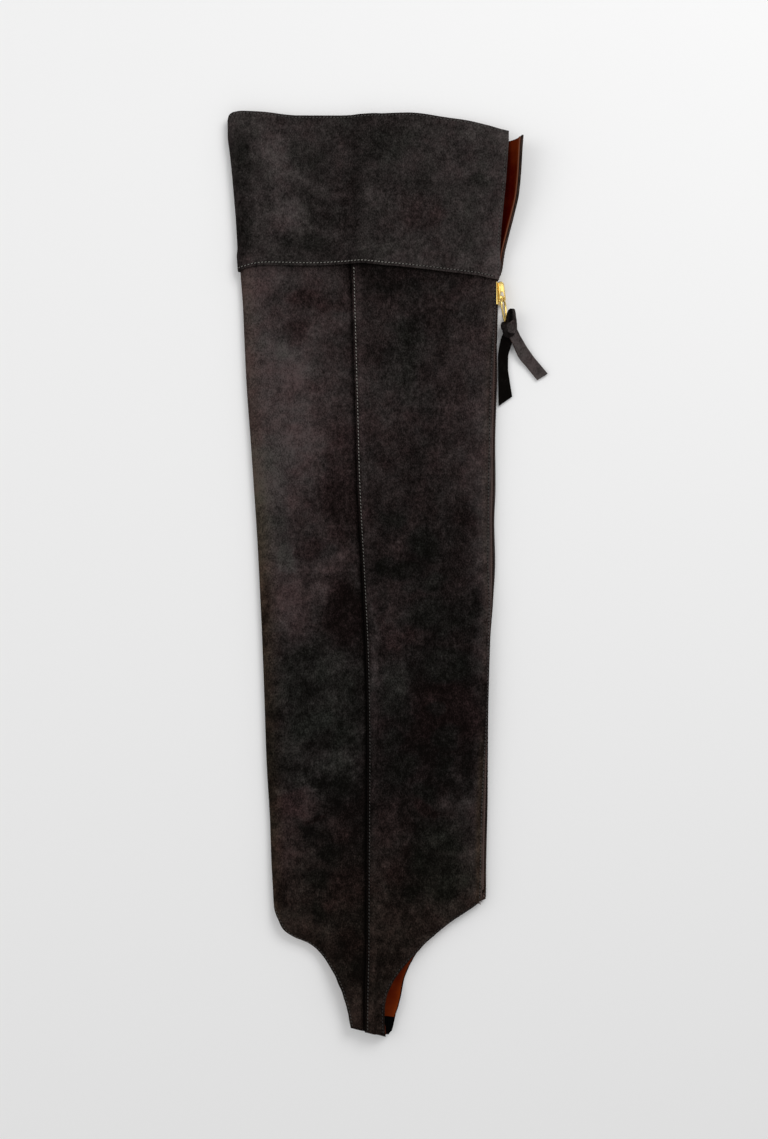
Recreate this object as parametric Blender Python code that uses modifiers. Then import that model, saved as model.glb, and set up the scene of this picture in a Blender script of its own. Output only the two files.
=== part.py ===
"""Over-the-knee suede gaiter, laid flat: cuff, leg panels, straps, back zip and its tie.

Metres, +Z up, +Y towards the cuff. Sizes below are in millimetres; `up` is the height
above the strap's end, and a section runs across the leg from the front fold to the zip.
"""
import functools
import math

import bmesh
import bpy
from mathutils import Matrix, Vector

MM = 0.001
LENGTH = 665.9          # strap end to the top of the cuff
SUEDE = 1.4             # skin of the leg, cuff and tie
LINING = 1.0            # smooth leather inside the cuff and the straps
GAP = 0.3               # clearance between two plies
STEP = SUEDE + GAP      # how far a lapping ply is lifted
LAP = 8.0               # one panel over the next at the side seam
CUFF_LAP = 10.0         # cuff over the leg
CUFF_RAMP = 18.0        # where the cuff has come down again
RAMP = 8.0              # length of a ramp beside a lap
EDGE = 1.0              # lining set in from the suede's edge

BEND = 2.2              # radius of the folded edge beside the zip
ZIP_FLAT = 4.4          # flat between the two folded edges
SLOT = 1.8              # half the width between the two cut edges
COIL_HALF = 1.4
COIL_THICK = 1.1
TAPE = 1.0
TAPE_REACH = 2.0
ZIP_FOOT = 104.5
ZIP_TOP = 533.2

FOLD_FADE = 30.0        # width over which the fold's bead dies away
BACK_FADE = 26.0        # the same beside the zip
HEM_START = 101.2
FOLD_END = 94.0         # the fold is cut open by the hem here
FACING_TOP = 82.0
LINING_OVER = 4.7        # height of the inner strap's lining over the elastic's end

# the front fold and the upper ply's zip edge: height, x of the fold, x of the cut edge,
# degrees that the zip flat is turned up
LEG = [
    dict(up=97.6, fold=-82.3, cut=66.8, turn=52),
    dict(up=101.2, fold=-82.7, cut=66.8, turn=53),
    dict(up=127, fold=-84.1, cut=67.1, turn=55),
    dict(up=155, fold=-85.1, cut=67.7, turn=55),
    dict(up=198, fold=-87.6, cut=70.2, turn=28),
    dict(up=242, fold=-89.1, cut=72.4, turn=7),
    dict(up=285, fold=-90.7, cut=73.3, turn=12),
    dict(up=313, fold=-92.0, cut=74.3, turn=25),
    dict(up=342, fold=-93.4, cut=73.9, turn=47),
    dict(up=371, fold=-95.1, cut=74.0, turn=38),
    dict(up=393, fold=-96.6, cut=74.3, turn=45),
    dict(up=432, fold=-99.3, cut=74.9, turn=36),
    dict(up=469, fold=-102.0, cut=75.8, turn=41),
    dict(up=500, fold=-103.5, cut=77.1, turn=25),
    dict(up=527, fold=-104.7, cut=78.2, turn=20),
    dict(up=543, fold=-105.9, cut=78.3, turn=20),
]
# above the slider the two plies part: upper ply's edge, its turn, bend and height, then
# the lower ply's edge, its turn and the radius of its curl
MOUTH = [
    dict(up=543, fold=-105.9, cut=78.3, turn=20, bend=2.2, crest=8.53, edge=79.0, lift=20, curl=2.2),
    dict(up=552, fold=-107.4, cut=80.3, turn=50, bend=4, crest=8.7, edge=82.6, lift=8, curl=3.6),
    dict(up=563, fold=-108.2, cut=80.9, turn=68, bend=9, crest=8.8, edge=84.2, lift=2, curl=6.2),
    dict(up=577, fold=-109.0, cut=81.5, turn=76, bend=14, crest=9.0, edge=87.5, lift=-2, curl=9.6),
    dict(up=590, fold=-109.8, cut=82.6, turn=78, bend=16, crest=9.2, edge=90.8, lift=-4, curl=12.2),
    dict(up=604, fold=-111.0, cut=83.9, turn=80, bend=18, crest=9.3, edge=93.9, lift=-5, curl=15.0),
    dict(up=618, fold=-112.2, cut=85.2, turn=80, bend=18, crest=9.4, edge=95.2, lift=-5, curl=17.6),
    dict(up=637, fold=-114.2, cut=86.4, turn=80, bend=18, crest=9.5, edge=96.2, lift=-5, curl=19.6),
    dict(up=648, fold=-115.5, cut=87.0, turn=80, bend=18, crest=9.5, edge=96.9, lift=-5, curl=20.6),
    dict(up=666, fold=-115.7, cut=87.2, turn=80, bend=18, crest=9.5, edge=97.2, lift=-5, curl=20.8),
]
# side seam on the upper ply
SEAM = [
    dict(up=0, x=-16.7), dict(up=33, x=-16.7), dict(up=62, x=-15.7), dict(up=119, x=-15.7),
    dict(up=177, x=-14.9), dict(up=206, x=-14.9), dict(up=263, x=-15.7), dict(up=292, x=-17.1),
    dict(up=321, x=-18.5), dict(up=350, x=-20.0), dict(up=378, x=-21.4), dict(up=407, x=-22.9),
    dict(up=436, x=-23.6), dict(up=494, x=-25.0), dict(up=556, x=-26.5), dict(up=666, x=-28.0),
]
# hem and strap edges, upper and lower ply
HEM = [
    dict(up=3.2, left=-26.6, right=-1.5, under_left=-19.6, under_right=4.6),
    dict(up=12.1, left=-28.2, right=-2.2, under_left=-20.4, under_right=5.4),
    dict(up=20, left=-29.8, right=-2.1, under_left=-21.8, under_right=7.8),
    dict(up=27, left=-31.5, right=-1.2, under_left=-23.9, under_right=9.5),
    dict(up=39, left=-35.7, right=3.7, under_left=-29.0, under_right=11.9),
    dict(up=47, left=-40.0, right=9.3, under_left=-34.4, under_right=14.9),
    dict(up=53.7, left=-44.5, right=15.3, under_left=-40.6, under_right=18.3),
    dict(up=60, left=-49.2, right=21.4, under_left=-47.0, under_right=22.2),
    dict(up=66.7, left=-57.4, right=27.4, under_left=-56.6, under_right=27.6),
    dict(up=71, left=-67.4, right=32.4, under_left=-67.2, under_right=32.4),
    dict(up=76, left=-74.6, right=38.3, under_left=-74.6, under_right=38.3),
    dict(up=82, left=-78.4, right=46.0, under_left=-78.4, under_right=46.0),
    dict(up=88, left=-80.9, right=54.8, under_left=-80.9, under_right=54.8),
    dict(up=94, left=-81.9, right=63.5, under_left=-81.9, under_right=63.5),
    dict(up=97.6, left=-82.3, right=66.6, under_left=-82.3, under_right=67.9),
]
# height of the upper ply between the fold and the zip: low on the leg, and by the
# distance above the cuff's lower edge
STACK_LOW = [
    dict(up=0, mid=10.0, fold=8.0, follow=0), dict(up=38, mid=10.0, fold=8.0, follow=0),
    dict(up=60, mid=6.4, fold=8.0, follow=1), dict(up=101.2, mid=6.2, fold=8.0, follow=1),
    dict(up=150, mid=3.8, fold=6.6, follow=1), dict(up=700, mid=3.8, fold=6.6, follow=1),
]
STACK_CUFF = [
    dict(above=-8, mid=3.8, fold=6.6), dict(above=-0.3, mid=5.5, fold=8.0),
    dict(above=10.3, mid=5.5, fold=8.0), dict(above=18, mid=6.2, fold=8.4),
    dict(above=150, mid=6.2, fold=8.4),
]
CUFF_FOOT = [
    dict(x=-120, up=549.4), dict(x=-107.8, up=550.5), dict(x=-97, up=553.8), dict(x=-86, up=555.0),
    dict(x=-54, up=554.5), dict(x=-21, up=555.9), dict(x=0, up=554.8), dict(x=22, up=552.7),
    dict(x=43, up=550.2), dict(x=65, up=547.3), dict(x=80, up=544.0), dict(x=120, up=543.6),
]
CUFF_HEAD = [
    dict(x=-115.7, up=659.2, under=659.2), dict(x=-114.6, up=662.3, under=661.6),
    dict(x=-111.4, up=664.6, under=663.8), dict(x=-104, up=665.9, under=664.8),
    dict(x=-93, up=665.7, under=664.6), dict(x=-65, up=662.9, under=661.8),
    dict(x=-36, up=662.8, under=661.7), dict(x=-7, up=664.3, under=663.0),
    dict(x=15, up=665.0, under=663.0), dict(x=43, up=661.4, under=658.0),
    dict(x=58, up=659.2, under=655.0), dict(x=72, up=655.6, under=650.0),
    dict(x=87, up=651.0, under=644.6), dict(x=100, up=650.0, under=645.6),
]
# columns of a section: distance from its start, from the side seam or from the zip side
FOLD_STEPS = 2
STATIONS_LEFT = (10.0, 30.0)
STATIONS_SEAM = (-8.0, 0.0, 8.0, 16.0, 24.0)
STATIONS_BACK = (26.0, 8.0, 0.0)
UPPER_TURNS = 2
LOWER_TURNS = 3
SEAM_COL = FOLD_STEPS + len(STATIONS_LEFT) + 2
UPPER_LAST = SEAM_COL + 3 + len(STATIONS_BACK) + UPPER_TURNS + 1
LOWER_LAST = SEAM_COL + 3 + len(STATIONS_BACK) + LOWER_TURNS + 1
BACK_SHARE = (0.40, 0.62, 0.78)      # narrowest places of the seam columns on the strap

LEG_LEVELS = (101.2, 104.5, 127, 155, 176, 198, 242, 285, 313, 342, 371, 393, 432, 469, 500, 527)
HEM_LEVELS = (97.6, 94, 88, 82, 76, 71, 66.7, 60, 53.7, 47, 39, 27)
TIP_UPPER = (15.0, 3.2)
TIP_LOWER = (19.0, 12.1)
CUFF_PARTS = (0.0, 0.12, 0.27, 0.42, 0.57, 0.72, 0.87, 1.0)


def look(table, key, at, column):
    """One named column of a table, drawn straight between its rows."""
    rows = table
    if at <= rows[0][key]:
        return rows[0][column]
    for low, high in zip(rows, rows[1:]):
        if at <= high[key]:
            share = (at - low[key]) / (high[key] - low[key])
            return low[column] + share * (high[column] - low[column])
    return rows[-1][column]


def mix(low, high, share):
    return low + (high - low) * share


@functools.lru_cache(maxsize=None)
def section(up, above):
    """Sizes of the section at one height: its ends, bends and heights."""
    cut = {}
    if up <= LEG[-1]["up"]:
        for column in ("fold", "cut", "turn"):
            cut[column] = look(LEG, "up", up, column)
        turn = math.radians(cut["turn"])
        cut["turn"] = turn
        cut["lift"] = turn
        cut["bend"] = cut["curl"] = BEND
        cut["crest"] = 2 * BEND + ZIP_FLAT * math.cos(turn)
        lap = (ZIP_FLAT / 2 - SLOT) * math.sin(turn)
        cut["top_end"] = cut["cut"] - BEND * math.cos(turn) - lap
        cut["low_end"] = cut["top_end"] + ZIP_FLAT * math.sin(turn)
    else:
        for column in ("fold", "cut", "bend", "crest", "edge", "curl"):
            cut[column] = look(MOUTH, "up", up, column)
        cut["turn"] = math.radians(look(MOUTH, "up", up, "turn"))
        cut["lift"] = math.radians(look(MOUTH, "up", up, "lift"))
        lap = ZIP_FLAT / 2 - SLOT
        cut["top_end"] = cut["cut"] - cut["bend"] * math.cos(cut["turn"]) - lap * math.sin(cut["turn"])
        cut["low_end"] = cut["edge"] - cut["curl"] * math.cos(cut["lift"]) + lap * math.sin(cut["lift"])
    cut["seam"] = look(SEAM, "up", up, "x")
    if above > -8:
        cut["mid"] = look(STACK_CUFF, "above", above, "mid")
        cut["bead"] = look(STACK_CUFF, "above", above, "fold") / 2
    else:
        cut["mid"] = look(STACK_LOW, "up", up, "mid")
        cut["bead"] = look(STACK_LOW, "up", up, "fold") / 2
    cut["follow"] = look(STACK_LOW, "up", up, "follow")
    cut["left"] = cut["fold"] + cut["bead"]
    return cut


def seam_rise(column):
    """Share of a ply's step that the lower side seam lifts, by column."""
    place = column - SEAM_COL
    return {1: 1.0, 2: 1.0}.get(place, 0.0)


def top_height(cut, x, column):
    """Height of the upper ply's outside, seen across the leg."""
    near = max(0.0, 1.0 - max(0.0, x - cut["left"]) / FOLD_FADE) ** 2
    far = max(0.0, 1.0 - max(0.0, cut["top_end"] - x) / BACK_FADE) ** 2
    height = cut["mid"] + (2 * cut["bead"] - cut["mid"]) * near + (cut["crest"] - cut["mid"]) * far
    return height + STEP * cut["follow"] * seam_rise(column)


def station(cut, column, end):
    """x of a column that stands between the fold and the bend beside the zip."""
    place = column - FOLD_STEPS
    if place == 0:
        return cut["left"]
    if place <= len(STATIONS_LEFT):
        return cut["left"] + STATIONS_LEFT[place - 1]
    place -= len(STATIONS_LEFT) + 1
    if place < len(STATIONS_SEAM):
        return cut["seam"] + STATIONS_SEAM[place]
    return end - STATIONS_BACK[place - len(STATIONS_SEAM)]


def upper_point(column, up, above):
    """Outside of the upper ply, x and z, for a whole section."""
    cut = section(up, above)
    bead = cut["bead"]
    if column < FOLD_STEPS:
        angle = math.radians(180 - 90 * column / FOLD_STEPS)
        return cut["left"] + bead * math.cos(angle), bead + bead * math.sin(angle)
    bend_from = UPPER_LAST - 1 - UPPER_TURNS
    if column <= bend_from:
        x = station(cut, column, cut["top_end"])
        return x, top_height(cut, x, column)
    share = min(1.0, (column - bend_from) / UPPER_TURNS)
    angle = mix(math.pi / 2, cut["turn"], share)
    x = cut["top_end"] + cut["bend"] * math.cos(angle)
    z = cut["crest"] - cut["bend"] * (1 - math.sin(angle))
    if column == UPPER_LAST:
        reach = ZIP_FLAT / 2 - SLOT
        return x + reach * math.sin(angle), z - reach * math.cos(angle)
    return x, z


def lower_point(column, up, above):
    """Outside of the lower ply, x and z, for a whole section."""
    cut = section(up, above)
    bead = cut["bead"]
    if column < FOLD_STEPS:
        angle = math.radians(180 + 90 * column / FOLD_STEPS)
        return cut["left"] + bead * math.cos(angle), bead + bead * math.sin(angle)
    bend_from = LOWER_LAST - 1 - LOWER_TURNS
    if column <= bend_from:
        return station(cut, column, cut["low_end"]), 0.0
    share = min(1.0, (column - bend_from) / LOWER_TURNS)
    angle = mix(-math.pi / 2, cut["lift"], share)
    x = cut["low_end"] + cut["curl"] * math.cos(angle)
    z = cut["curl"] * (1 + math.sin(angle))
    if column == LOWER_LAST:
        reach = ZIP_FLAT / 2 - SLOT
        return x - reach * math.sin(angle), z + reach * math.cos(angle)
    return x, z


def whole_row(rule):
    """Base points of a full section: upper and lower lists of (x, up, z)."""
    sides = []
    for last, point, ply in ((UPPER_LAST, upper_point, "up"), (LOWER_LAST, lower_point, "under")):
        side = []
        for column in range(last + 1):
            up, above = rule(-20.0, ply)
            for _ in range(4):
                x, z = point(column, up, above)
                up, above = rule(x, ply)
            side.append(Vector((x, up, z)))
        sides.append(side)
    return sides


def level_rule(level):
    return lambda x, ply: (level, level - look(CUFF_FOOT, "x", x, "up"))


def lap_rule(above):
    return lambda x, ply: (look(CUFF_FOOT, "x", x, "up") + above, above)


def cuff_rule(part):
    def rule(x, ply):
        foot = look(CUFF_FOOT, "x", x, "up")
        up = mix(foot + CUFF_RAMP, look(CUFF_HEAD, "x", x, ply), part)
        return up, up - foot
    return rule


def along(cut, distance, under):
    """Point at a distance round the fold, then across the ply."""
    bead = cut["bead"]
    quarter = bead * math.pi / 2
    side = -1 if under else 1
    if distance < quarter:
        angle = math.pi - side * distance / bead
        return cut["left"] + bead * math.cos(angle), bead + bead * math.sin(angle)
    x = cut["left"] + distance - quarter
    return x, None


def hem_side(level, under):
    """Columns of one ply's row on the hem and strap, squeezed between its edges."""
    cut = section(level, -300)
    last = LOWER_LAST if under else UPPER_LAST
    name = "under_" if under else ""
    left = look(HEM, "up", level, name + "left")
    right = look(HEM, "up", level, name + "right")
    bead = cut["bead"]
    quarter = bead * math.pi / 2
    if left < cut["left"]:
        start = quarter - bead * math.asin(min(1.0, (cut["left"] - left) / bead))
    else:
        start = quarter + left - cut["left"]
    if level >= FOLD_END:
        start = 0.0
    seam = quarter + cut["seam"] - cut["left"]
    whole = [bead * math.pi / 4 * k * 2 / FOLD_STEPS for k in range(FOLD_STEPS + 1)]
    whole += [quarter + s for s in STATIONS_LEFT] + [seam - LAP, seam]
    even = min(1.0, max(0.0, (FOLD_END - level) / 50.0))
    side = []
    for column in range(SEAM_COL + 1):
        share = mix(whole[column] / seam, column / SEAM_COL, even)
        side.append(mix(start, seam, share))
    room = right - cut["seam"]
    seams = [min(STATIONS_SEAM[2 + k], BACK_SHARE[k] * room) for k in range(3)]
    side += [seam + s for s in seams]
    full = not under and level >= 97
    rest = last - SEAM_COL - 3
    if full:
        points = [along(cut, d, under) for d in side]
        points = [(x, z) for x, z in points]
        tail = [upper_point(c, level, -300) for c in range(SEAM_COL + 4, last + 1)]
    else:
        tail = []
        for k in range(1, rest + 1):
            ease = 1 - (1 - k / rest) ** 1.25
            side.append(seam + mix(seams[-1], room, ease))
        points = [along(cut, d, under) for d in side]
    row = []
    for column, (x, z) in enumerate(points):
        if z is None:
            z = 0.0 if under else top_height(cut, x, column)
        row.append((x, z))
    row += tail
    return row


def hem_row(level, under):
    """One ply's row on the hem, with the strap's end slanted as it is cut."""
    row = []
    for x, z in hem_side(level, under):
        if under:
            slant = (5.4 - x) * 0.12 * max(0.0, min(1.0, (26.0 - level) / 13.9))
            up = level + slant
        else:
            slant = (-14.0 - x) * 0.25 * max(0.0, min(1.0, (27.0 - level) / 23.8))
            up = level + slant
        row.append(Vector((x, up, z)))
    return row


def moved_out(points, offsets, before=None):
    """Points of a section moved along its outward normal, mitred at its bends."""
    result = []
    for k, point in enumerate(points):
        ahead = points[k + 1] - point if k + 1 < len(points) else None
        behind = point - points[k - 1] if k else (point - before if before is not None else None)
        normals = []
        for run in (behind, ahead):
            if run is not None and math.hypot(run.x, run.z) > 1e-9:
                size = math.hypot(run.x, run.z)
                normals.append(Vector((-run.z / size, 0, run.x / size)))
        if not normals:
            normals = [Vector((0, 0, 1))]
        middle = sum(normals, Vector()).normalized()
        stretch = 1 / max(0.5, middle.dot(normals[0]))
        result.append(point + middle * offsets[k] * stretch)
    return result


class Row:
    """A row of base points with both plies; `whole` while the fold still joins them."""

    def __init__(self, upper, lower, whole, above=None):
        self.upper = upper
        self.lower = lower
        self.whole = whole
        self.above = above

    def outside(self, upper_offset, lower_offset):
        """Both plies moved by offsets given per column, as outward distances."""
        up_list = [upper_offset(c, self.upper[c]) for c in range(len(self.upper))]
        low_list = [lower_offset(c, self.lower[c]) for c in range(len(self.lower))]
        if self.whole:
            chain = list(reversed(self.lower)) + self.upper[1:]
            joint = (up_list[0] + low_list[0]) / 2
            offsets = list(reversed(low_list)) [:-1] + [joint] + up_list[1:]
            moved = moved_out(chain, offsets)
            split = len(self.lower) - 1
            return moved[split:], list(reversed(moved[:split + 1]))
        upper = moved_out(self.upper, up_list)
        lower_chain = list(reversed(self.lower))
        lower = moved_out(lower_chain, list(reversed(low_list)))
        return upper, list(reversed(lower))


def cover(above, start, full, until, end):
    """0 before `start`, 1 from `full` to `until`, 0 after `end`."""
    if above <= start or above >= end:
        return 0.0
    if above < full:
        return (above - start) / (full - start)
    if above <= until:
        return 1.0
    return (end - above) / (end - until)


def fold_share(column):
    """How far a point on the fold has turned from the lower ply to the upper one."""
    return 0.5 + 0.5 * min(1.0, column / FOLD_STEPS)


def above_foot(point):
    return point.y - look(CUFF_FOOT, "x", point.x, "up")


def leg_lift(point):
    """Share of the step by which the cuff's lap moves the leg in on the lower ply."""
    return cover(above_foot(point), -8, -0.3, 30, 60)


def cuff_upper(column, point):
    bump = {-1: 0.0, 0: 1.0, 1: 1.0, 2: 0.0}.get(column - SEAM_COL, 0.0)
    out = cover(above_foot(point), -9, -5, 10.3, CUFF_RAMP)
    return STEP * out * fold_share(column) * (1 + bump)


def cuff_lower(column, point):
    out = cover(above_foot(point), -9, -5, 10.3, CUFF_RAMP)
    return STEP * out * (1 - fold_share(column))


def front_upper(column, point):
    return -STEP * leg_lift(point) * (1 - fold_share(column))


def front_lower(column, point):
    return -STEP * leg_lift(point) * fold_share(column) - STEP * seam_rise(column)


def back_upper(column, point):
    return STEP * {0: 1.0, 1: 1.0}.get(column - SEAM_COL, 0.0)


def back_lower(column, point):
    return -STEP * leg_lift(point)


def cuff_lining_upper(column, point):
    return -STEP


def cuff_lining_lower(column, point):
    return -STEP


def strap_lining_upper(column, point):
    return -STEP


def strap_lining_lower(column, point):
    plain = -STEP - STEP * seam_rise(column)
    return mix(plain, -LINING_OVER, max(0.0, min(1.0, (39.0 - point.y) / 11.0)))


def picked(side, columns):
    """Points at whole or part columns."""
    points = []
    for column in columns:
        low = int(math.floor(column))
        share = column - low
        if share < 1e-6:
            points.append(side[low])
        else:
            points.append(side[low].lerp(side[low + 1], share))
    return points


def skin(name, grids, thick, turn=1):
    """Open faces from grids of rows, thickened towards the inside; `turn` -1 flips them."""
    mesh = bpy.data.meshes.new(name)
    body = bmesh.new()
    seen = {}

    def vertex(point):
        key = (round(point.x, 4), round(point.y, 4), round(point.z, 4))
        if key not in seen:
            place = (point.x * MM, (point.y - LENGTH / 2) * MM, point.z * MM)
            seen[key] = body.verts.new(place)
        return seen[key]

    for grid in grids:
        for row, following in zip(grid, grid[1:]):
            for k in range(len(row) - 1):
                corners = [vertex(p) for p in (row[k], row[k + 1], following[k + 1], following[k])]
                unique = list(dict.fromkeys(corners))[::turn]
                if len(unique) > 2:
                    body.faces.new(unique)
    body.to_mesh(mesh)
    body.free()
    thing = bpy.data.objects.new(name, mesh)
    COLLECTION.objects.link(thing)
    shell = thing.modifiers.new("wall", "SOLIDIFY")
    shell.thickness = thick * MM
    shell.offset = -1.0
    shell.use_even_offset = True
    shell.use_quality_normals = True
    return thing


def finish(thing, material):
    thing.data.materials.clear()
    thing.data.materials.append(material)
    return thing


def paint(name, colour, rough, metal=0.0):
    material = bpy.data.materials.new(name)
    material.use_nodes = True
    shader = material.node_tree.nodes["Principled BSDF"]
    shader.inputs["Base Color"].default_value = (*colour, 1.0)
    shader.inputs["Roughness"].default_value = rough
    shader.inputs["Metallic"].default_value = metal
    return material


for leftover in list(bpy.data.objects):
    bpy.data.objects.remove(leftover, do_unlink=True)
COLLECTION = bpy.data.collections.new("over_the_knee_gaiter")
bpy.context.scene.collection.children.link(COLLECTION)

SUEDE_BROWN = paint("charcoal_brown_suede", (0.028, 0.022, 0.021), 0.95)
COGNAC = paint("cognac_lining_leather", (0.16, 0.035, 0.014), 0.55)
TAPE_BROWN = paint("brown_zip_tape", (0.045, 0.028, 0.022), 0.8)
COIL_BROWN = paint("brown_zip_coil", (0.05, 0.03, 0.022), 0.45)
GOLD = paint("polished_gold_metal", (0.83, 0.62, 0.27), 0.2, 1.0)
BLACK_ELASTIC = paint("black_elastic", (0.004, 0.0035, 0.0035), 0.85)

LEG_ROWS = [Row(*whole_row(level_rule(level)), True) for level in LEG_LEVELS]
LAP_ROWS = [Row(*whole_row(lap_rule(above)), True) for above in (-8.0, -0.3, CUFF_LAP)]
CUFF_ROWS = [Row(*whole_row(lap_rule(above)), True) for above in (0.0, 10.3)]
CUFF_ROWS += [Row(*whole_row(cuff_rule(part)), True) for part in CUFF_PARTS]
HEM_ROWS = [Row(hem_row(level, False), hem_row(level, True), level >= FOLD_END) for level in HEM_LEVELS]
TIP_UP = [hem_row(level, False) for level in TIP_UPPER]
TIP_LOW = [hem_row(level, True) for level in TIP_LOWER]
TIP_ROWS = [Row(up, low, False) for up, low in zip(TIP_UP, TIP_LOW)]

LAP_END = 1 - GAP / LAP
WHOLE_ROWS = [row for row in HEM_ROWS if row.whole][::-1] + LEG_ROWS + LAP_ROWS
OPEN_ROWS = [row for row in HEM_ROWS if row.whole][-1:] + [row for row in HEM_ROWS if not row.whole] + TIP_ROWS


def joined(moved, upper_columns, lower_columns):
    """One row across the fold, from the upper side to the lower one."""
    upper, lower = moved
    across = picked(upper, upper_columns)[::-1]
    return across + picked(lower, lower_columns)[1:]


# front panel: from the outer side seam round the fold to the inner one, with both straps
front_up_columns = list(range(SEAM_COL + 1)) + [SEAM_COL + LAP_END]
front_low_columns = list(range(SEAM_COL + 2)) + [SEAM_COL + 1 + LAP_END]
body_grid = [joined(r.outside(front_upper, front_lower), front_up_columns, front_low_columns) for r in WHOLE_ROWS]
edge_grids = [[], []]
for row in OPEN_ROWS:
    upper, lower = row.outside(front_upper, front_lower)
    edge_grids[0].append(picked(upper, front_up_columns)[::-1])
    edge_grids[1].append(picked(lower, front_low_columns))
front_panel = finish(skin("front_panel", [body_grid] + [g[::-1] for g in edge_grids], SUEDE, -1), SUEDE_BROWN)

# back panels: from the side seams to the zip
ALL_ROWS = OPEN_ROWS[::-1] + [row for row in HEM_ROWS if row.whole][::-1][1:] + LEG_ROWS + LAP_ROWS
grid = [picked(r.outside(back_upper, back_lower)[0], range(SEAM_COL, UPPER_LAST + 1)) for r in ALL_ROWS]
back_panel_outer = finish(skin("back_panel_outer", [grid], SUEDE), SUEDE_BROWN)
grid = [picked(r.outside(back_upper, back_lower)[1], range(SEAM_COL + 1, LOWER_LAST + 1)) for r in ALL_ROWS]
back_panel_inner = finish(skin("back_panel_inner", [grid], SUEDE, -1), SUEDE_BROWN)

# cuff: one band from zip edge to zip edge
cuff_up_columns = range(UPPER_LAST + 1)
cuff_low_columns = range(LOWER_LAST + 1)
grid = [joined(r.outside(cuff_upper, cuff_lower), cuff_up_columns, cuff_low_columns) for r in CUFF_ROWS]
cuff = finish(skin("cuff", [grid], SUEDE, -1), SUEDE_BROWN)

# linings: the cuff's goes all round, the straps' stop where the hem ends
LINING_FOOT = [Row(*whole_row(lap_rule(above)), True) for above in (12.0, CUFF_RAMP)]
LINING_PARTS = (0.12, 0.27, 0.42, 0.57, 0.72, 0.87, 1.0 - EDGE / 95)
LINING_ROWS = LINING_FOOT + [Row(*whole_row(cuff_rule(part)), True) for part in LINING_PARTS]


def cuff_under(offset):
    """A lining's offset below a ply, a little freer where the cuff comes down."""
    def rule(column, point):
        free = 0.12 if above_foot(point) < CUFF_RAMP - 1 else 0.0
        return offset(column, point) - STEP - free
    return rule


def cut_back(points, amount):
    """Move the first points of a run inwards, so that it starts later by a length."""
    lengths = [0.0]
    for low, high in zip(points, points[1:]):
        lengths.append(lengths[-1] + (high - low).length)
    keep = 1
    while lengths[keep] < amount + 0.25 * keep:
        keep += 1
    moved = list(points)
    for k in range(keep):
        wanted = mix(amount, lengths[keep], k / keep)
        place = 0
        while lengths[place + 1] < wanted:
            place += 1
        share = (wanted - lengths[place]) / (lengths[place + 1] - lengths[place])
        moved[k] = points[place].lerp(points[place + 1], share)
    return moved


def set_in(points):
    """A row cut back at both ends by the lining's edge."""
    return cut_back(cut_back(points, EDGE)[::-1], EDGE)[::-1]


grid = []
for row in LINING_ROWS:
    upper, lower = row.outside(cuff_under(cuff_upper), cuff_under(cuff_lower))
    upper[-1] = upper[-2].lerp(upper[-1], 0.1)
    lower[-1] = lower[-2].lerp(lower[-1], 0.1)
    grid.append(upper[::-1] + lower[1:])
cuff_lining = finish(skin("cuff_lining", [grid], LINING, -1), COGNAC)

FACING_LEVELS = [level for level in HEM_LEVELS if level <= FACING_TOP]


def facing_rows(under, ends):
    """Base rows of a strap's lining."""
    return [hem_row(level, under) for level in FACING_LEVELS + ends]


upper_grid = []
for row in facing_rows(False, [15.0, 3.2 + EDGE]):
    upper_grid.append(set_in(moved_out(row, [strap_lining_upper(c, p) for c, p in enumerate(row)])))
strap_lining_outer = finish(skin("strap_lining_outer", [upper_grid[::-1]], LINING), COGNAC)
lower_grid = []
for row in facing_rows(True, [19.0, 12.1 + EDGE]):
    offsets = [strap_lining_lower(c, p) for c, p in enumerate(row)]
    lower_grid.append(set_in(moved_out(row[::-1], offsets[::-1])[::-1]))
strap_lining_inner = finish(skin("strap_lining_inner", [lower_grid[::-1]], LINING, -1), COGNAC)


# zip: two tapes behind the cut edges and the coil between them
def zip_frame(up):
    """Middle of the zip flat, the way across it towards the upper ply, and outwards."""
    cut = section(up, -300)
    turn = cut["turn"]
    x = cut["low_end"] + BEND * math.cos(turn) - ZIP_FLAT / 2 * math.sin(turn)
    z = BEND * (1 + math.sin(turn)) + ZIP_FLAT / 2 * math.cos(turn)
    across = Vector((-math.sin(turn), 0, math.cos(turn)))
    outward = Vector((math.cos(turn), 0, math.sin(turn)))
    return Vector((x, up, z)), across, outward


def zip_strip(levels, low, high, depth):
    grid = []
    for level in levels:
        middle, across, outward = zip_frame(level)
        grid.append([middle + across * side - outward * depth for side in (low, high)])
    return grid


zip_levels = [level for level in LEG_LEVELS if ZIP_FOOT <= level < ZIP_TOP]
tape_levels = zip_levels + [ZIP_TOP]
coil_levels = zip_levels[:-1] + [525.8]
tape_outer = zip_strip(tape_levels, GAP / 2, TAPE_REACH, STEP)
tape_inner = zip_strip(tape_levels, -TAPE_REACH, -GAP / 2, STEP)
coil = zip_strip(coil_levels, -COIL_HALF, COIL_HALF, GAP)
zip_tape_outer = finish(skin("zip_tape_outer", [tape_outer], TAPE, -1), TAPE_BROWN)
zip_tape_inner = finish(skin("zip_tape_inner", [tape_inner], TAPE, -1), TAPE_BROWN)
zip_chain = finish(skin("zip_chain", [coil], COIL_THICK, -1), COIL_BROWN)

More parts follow.
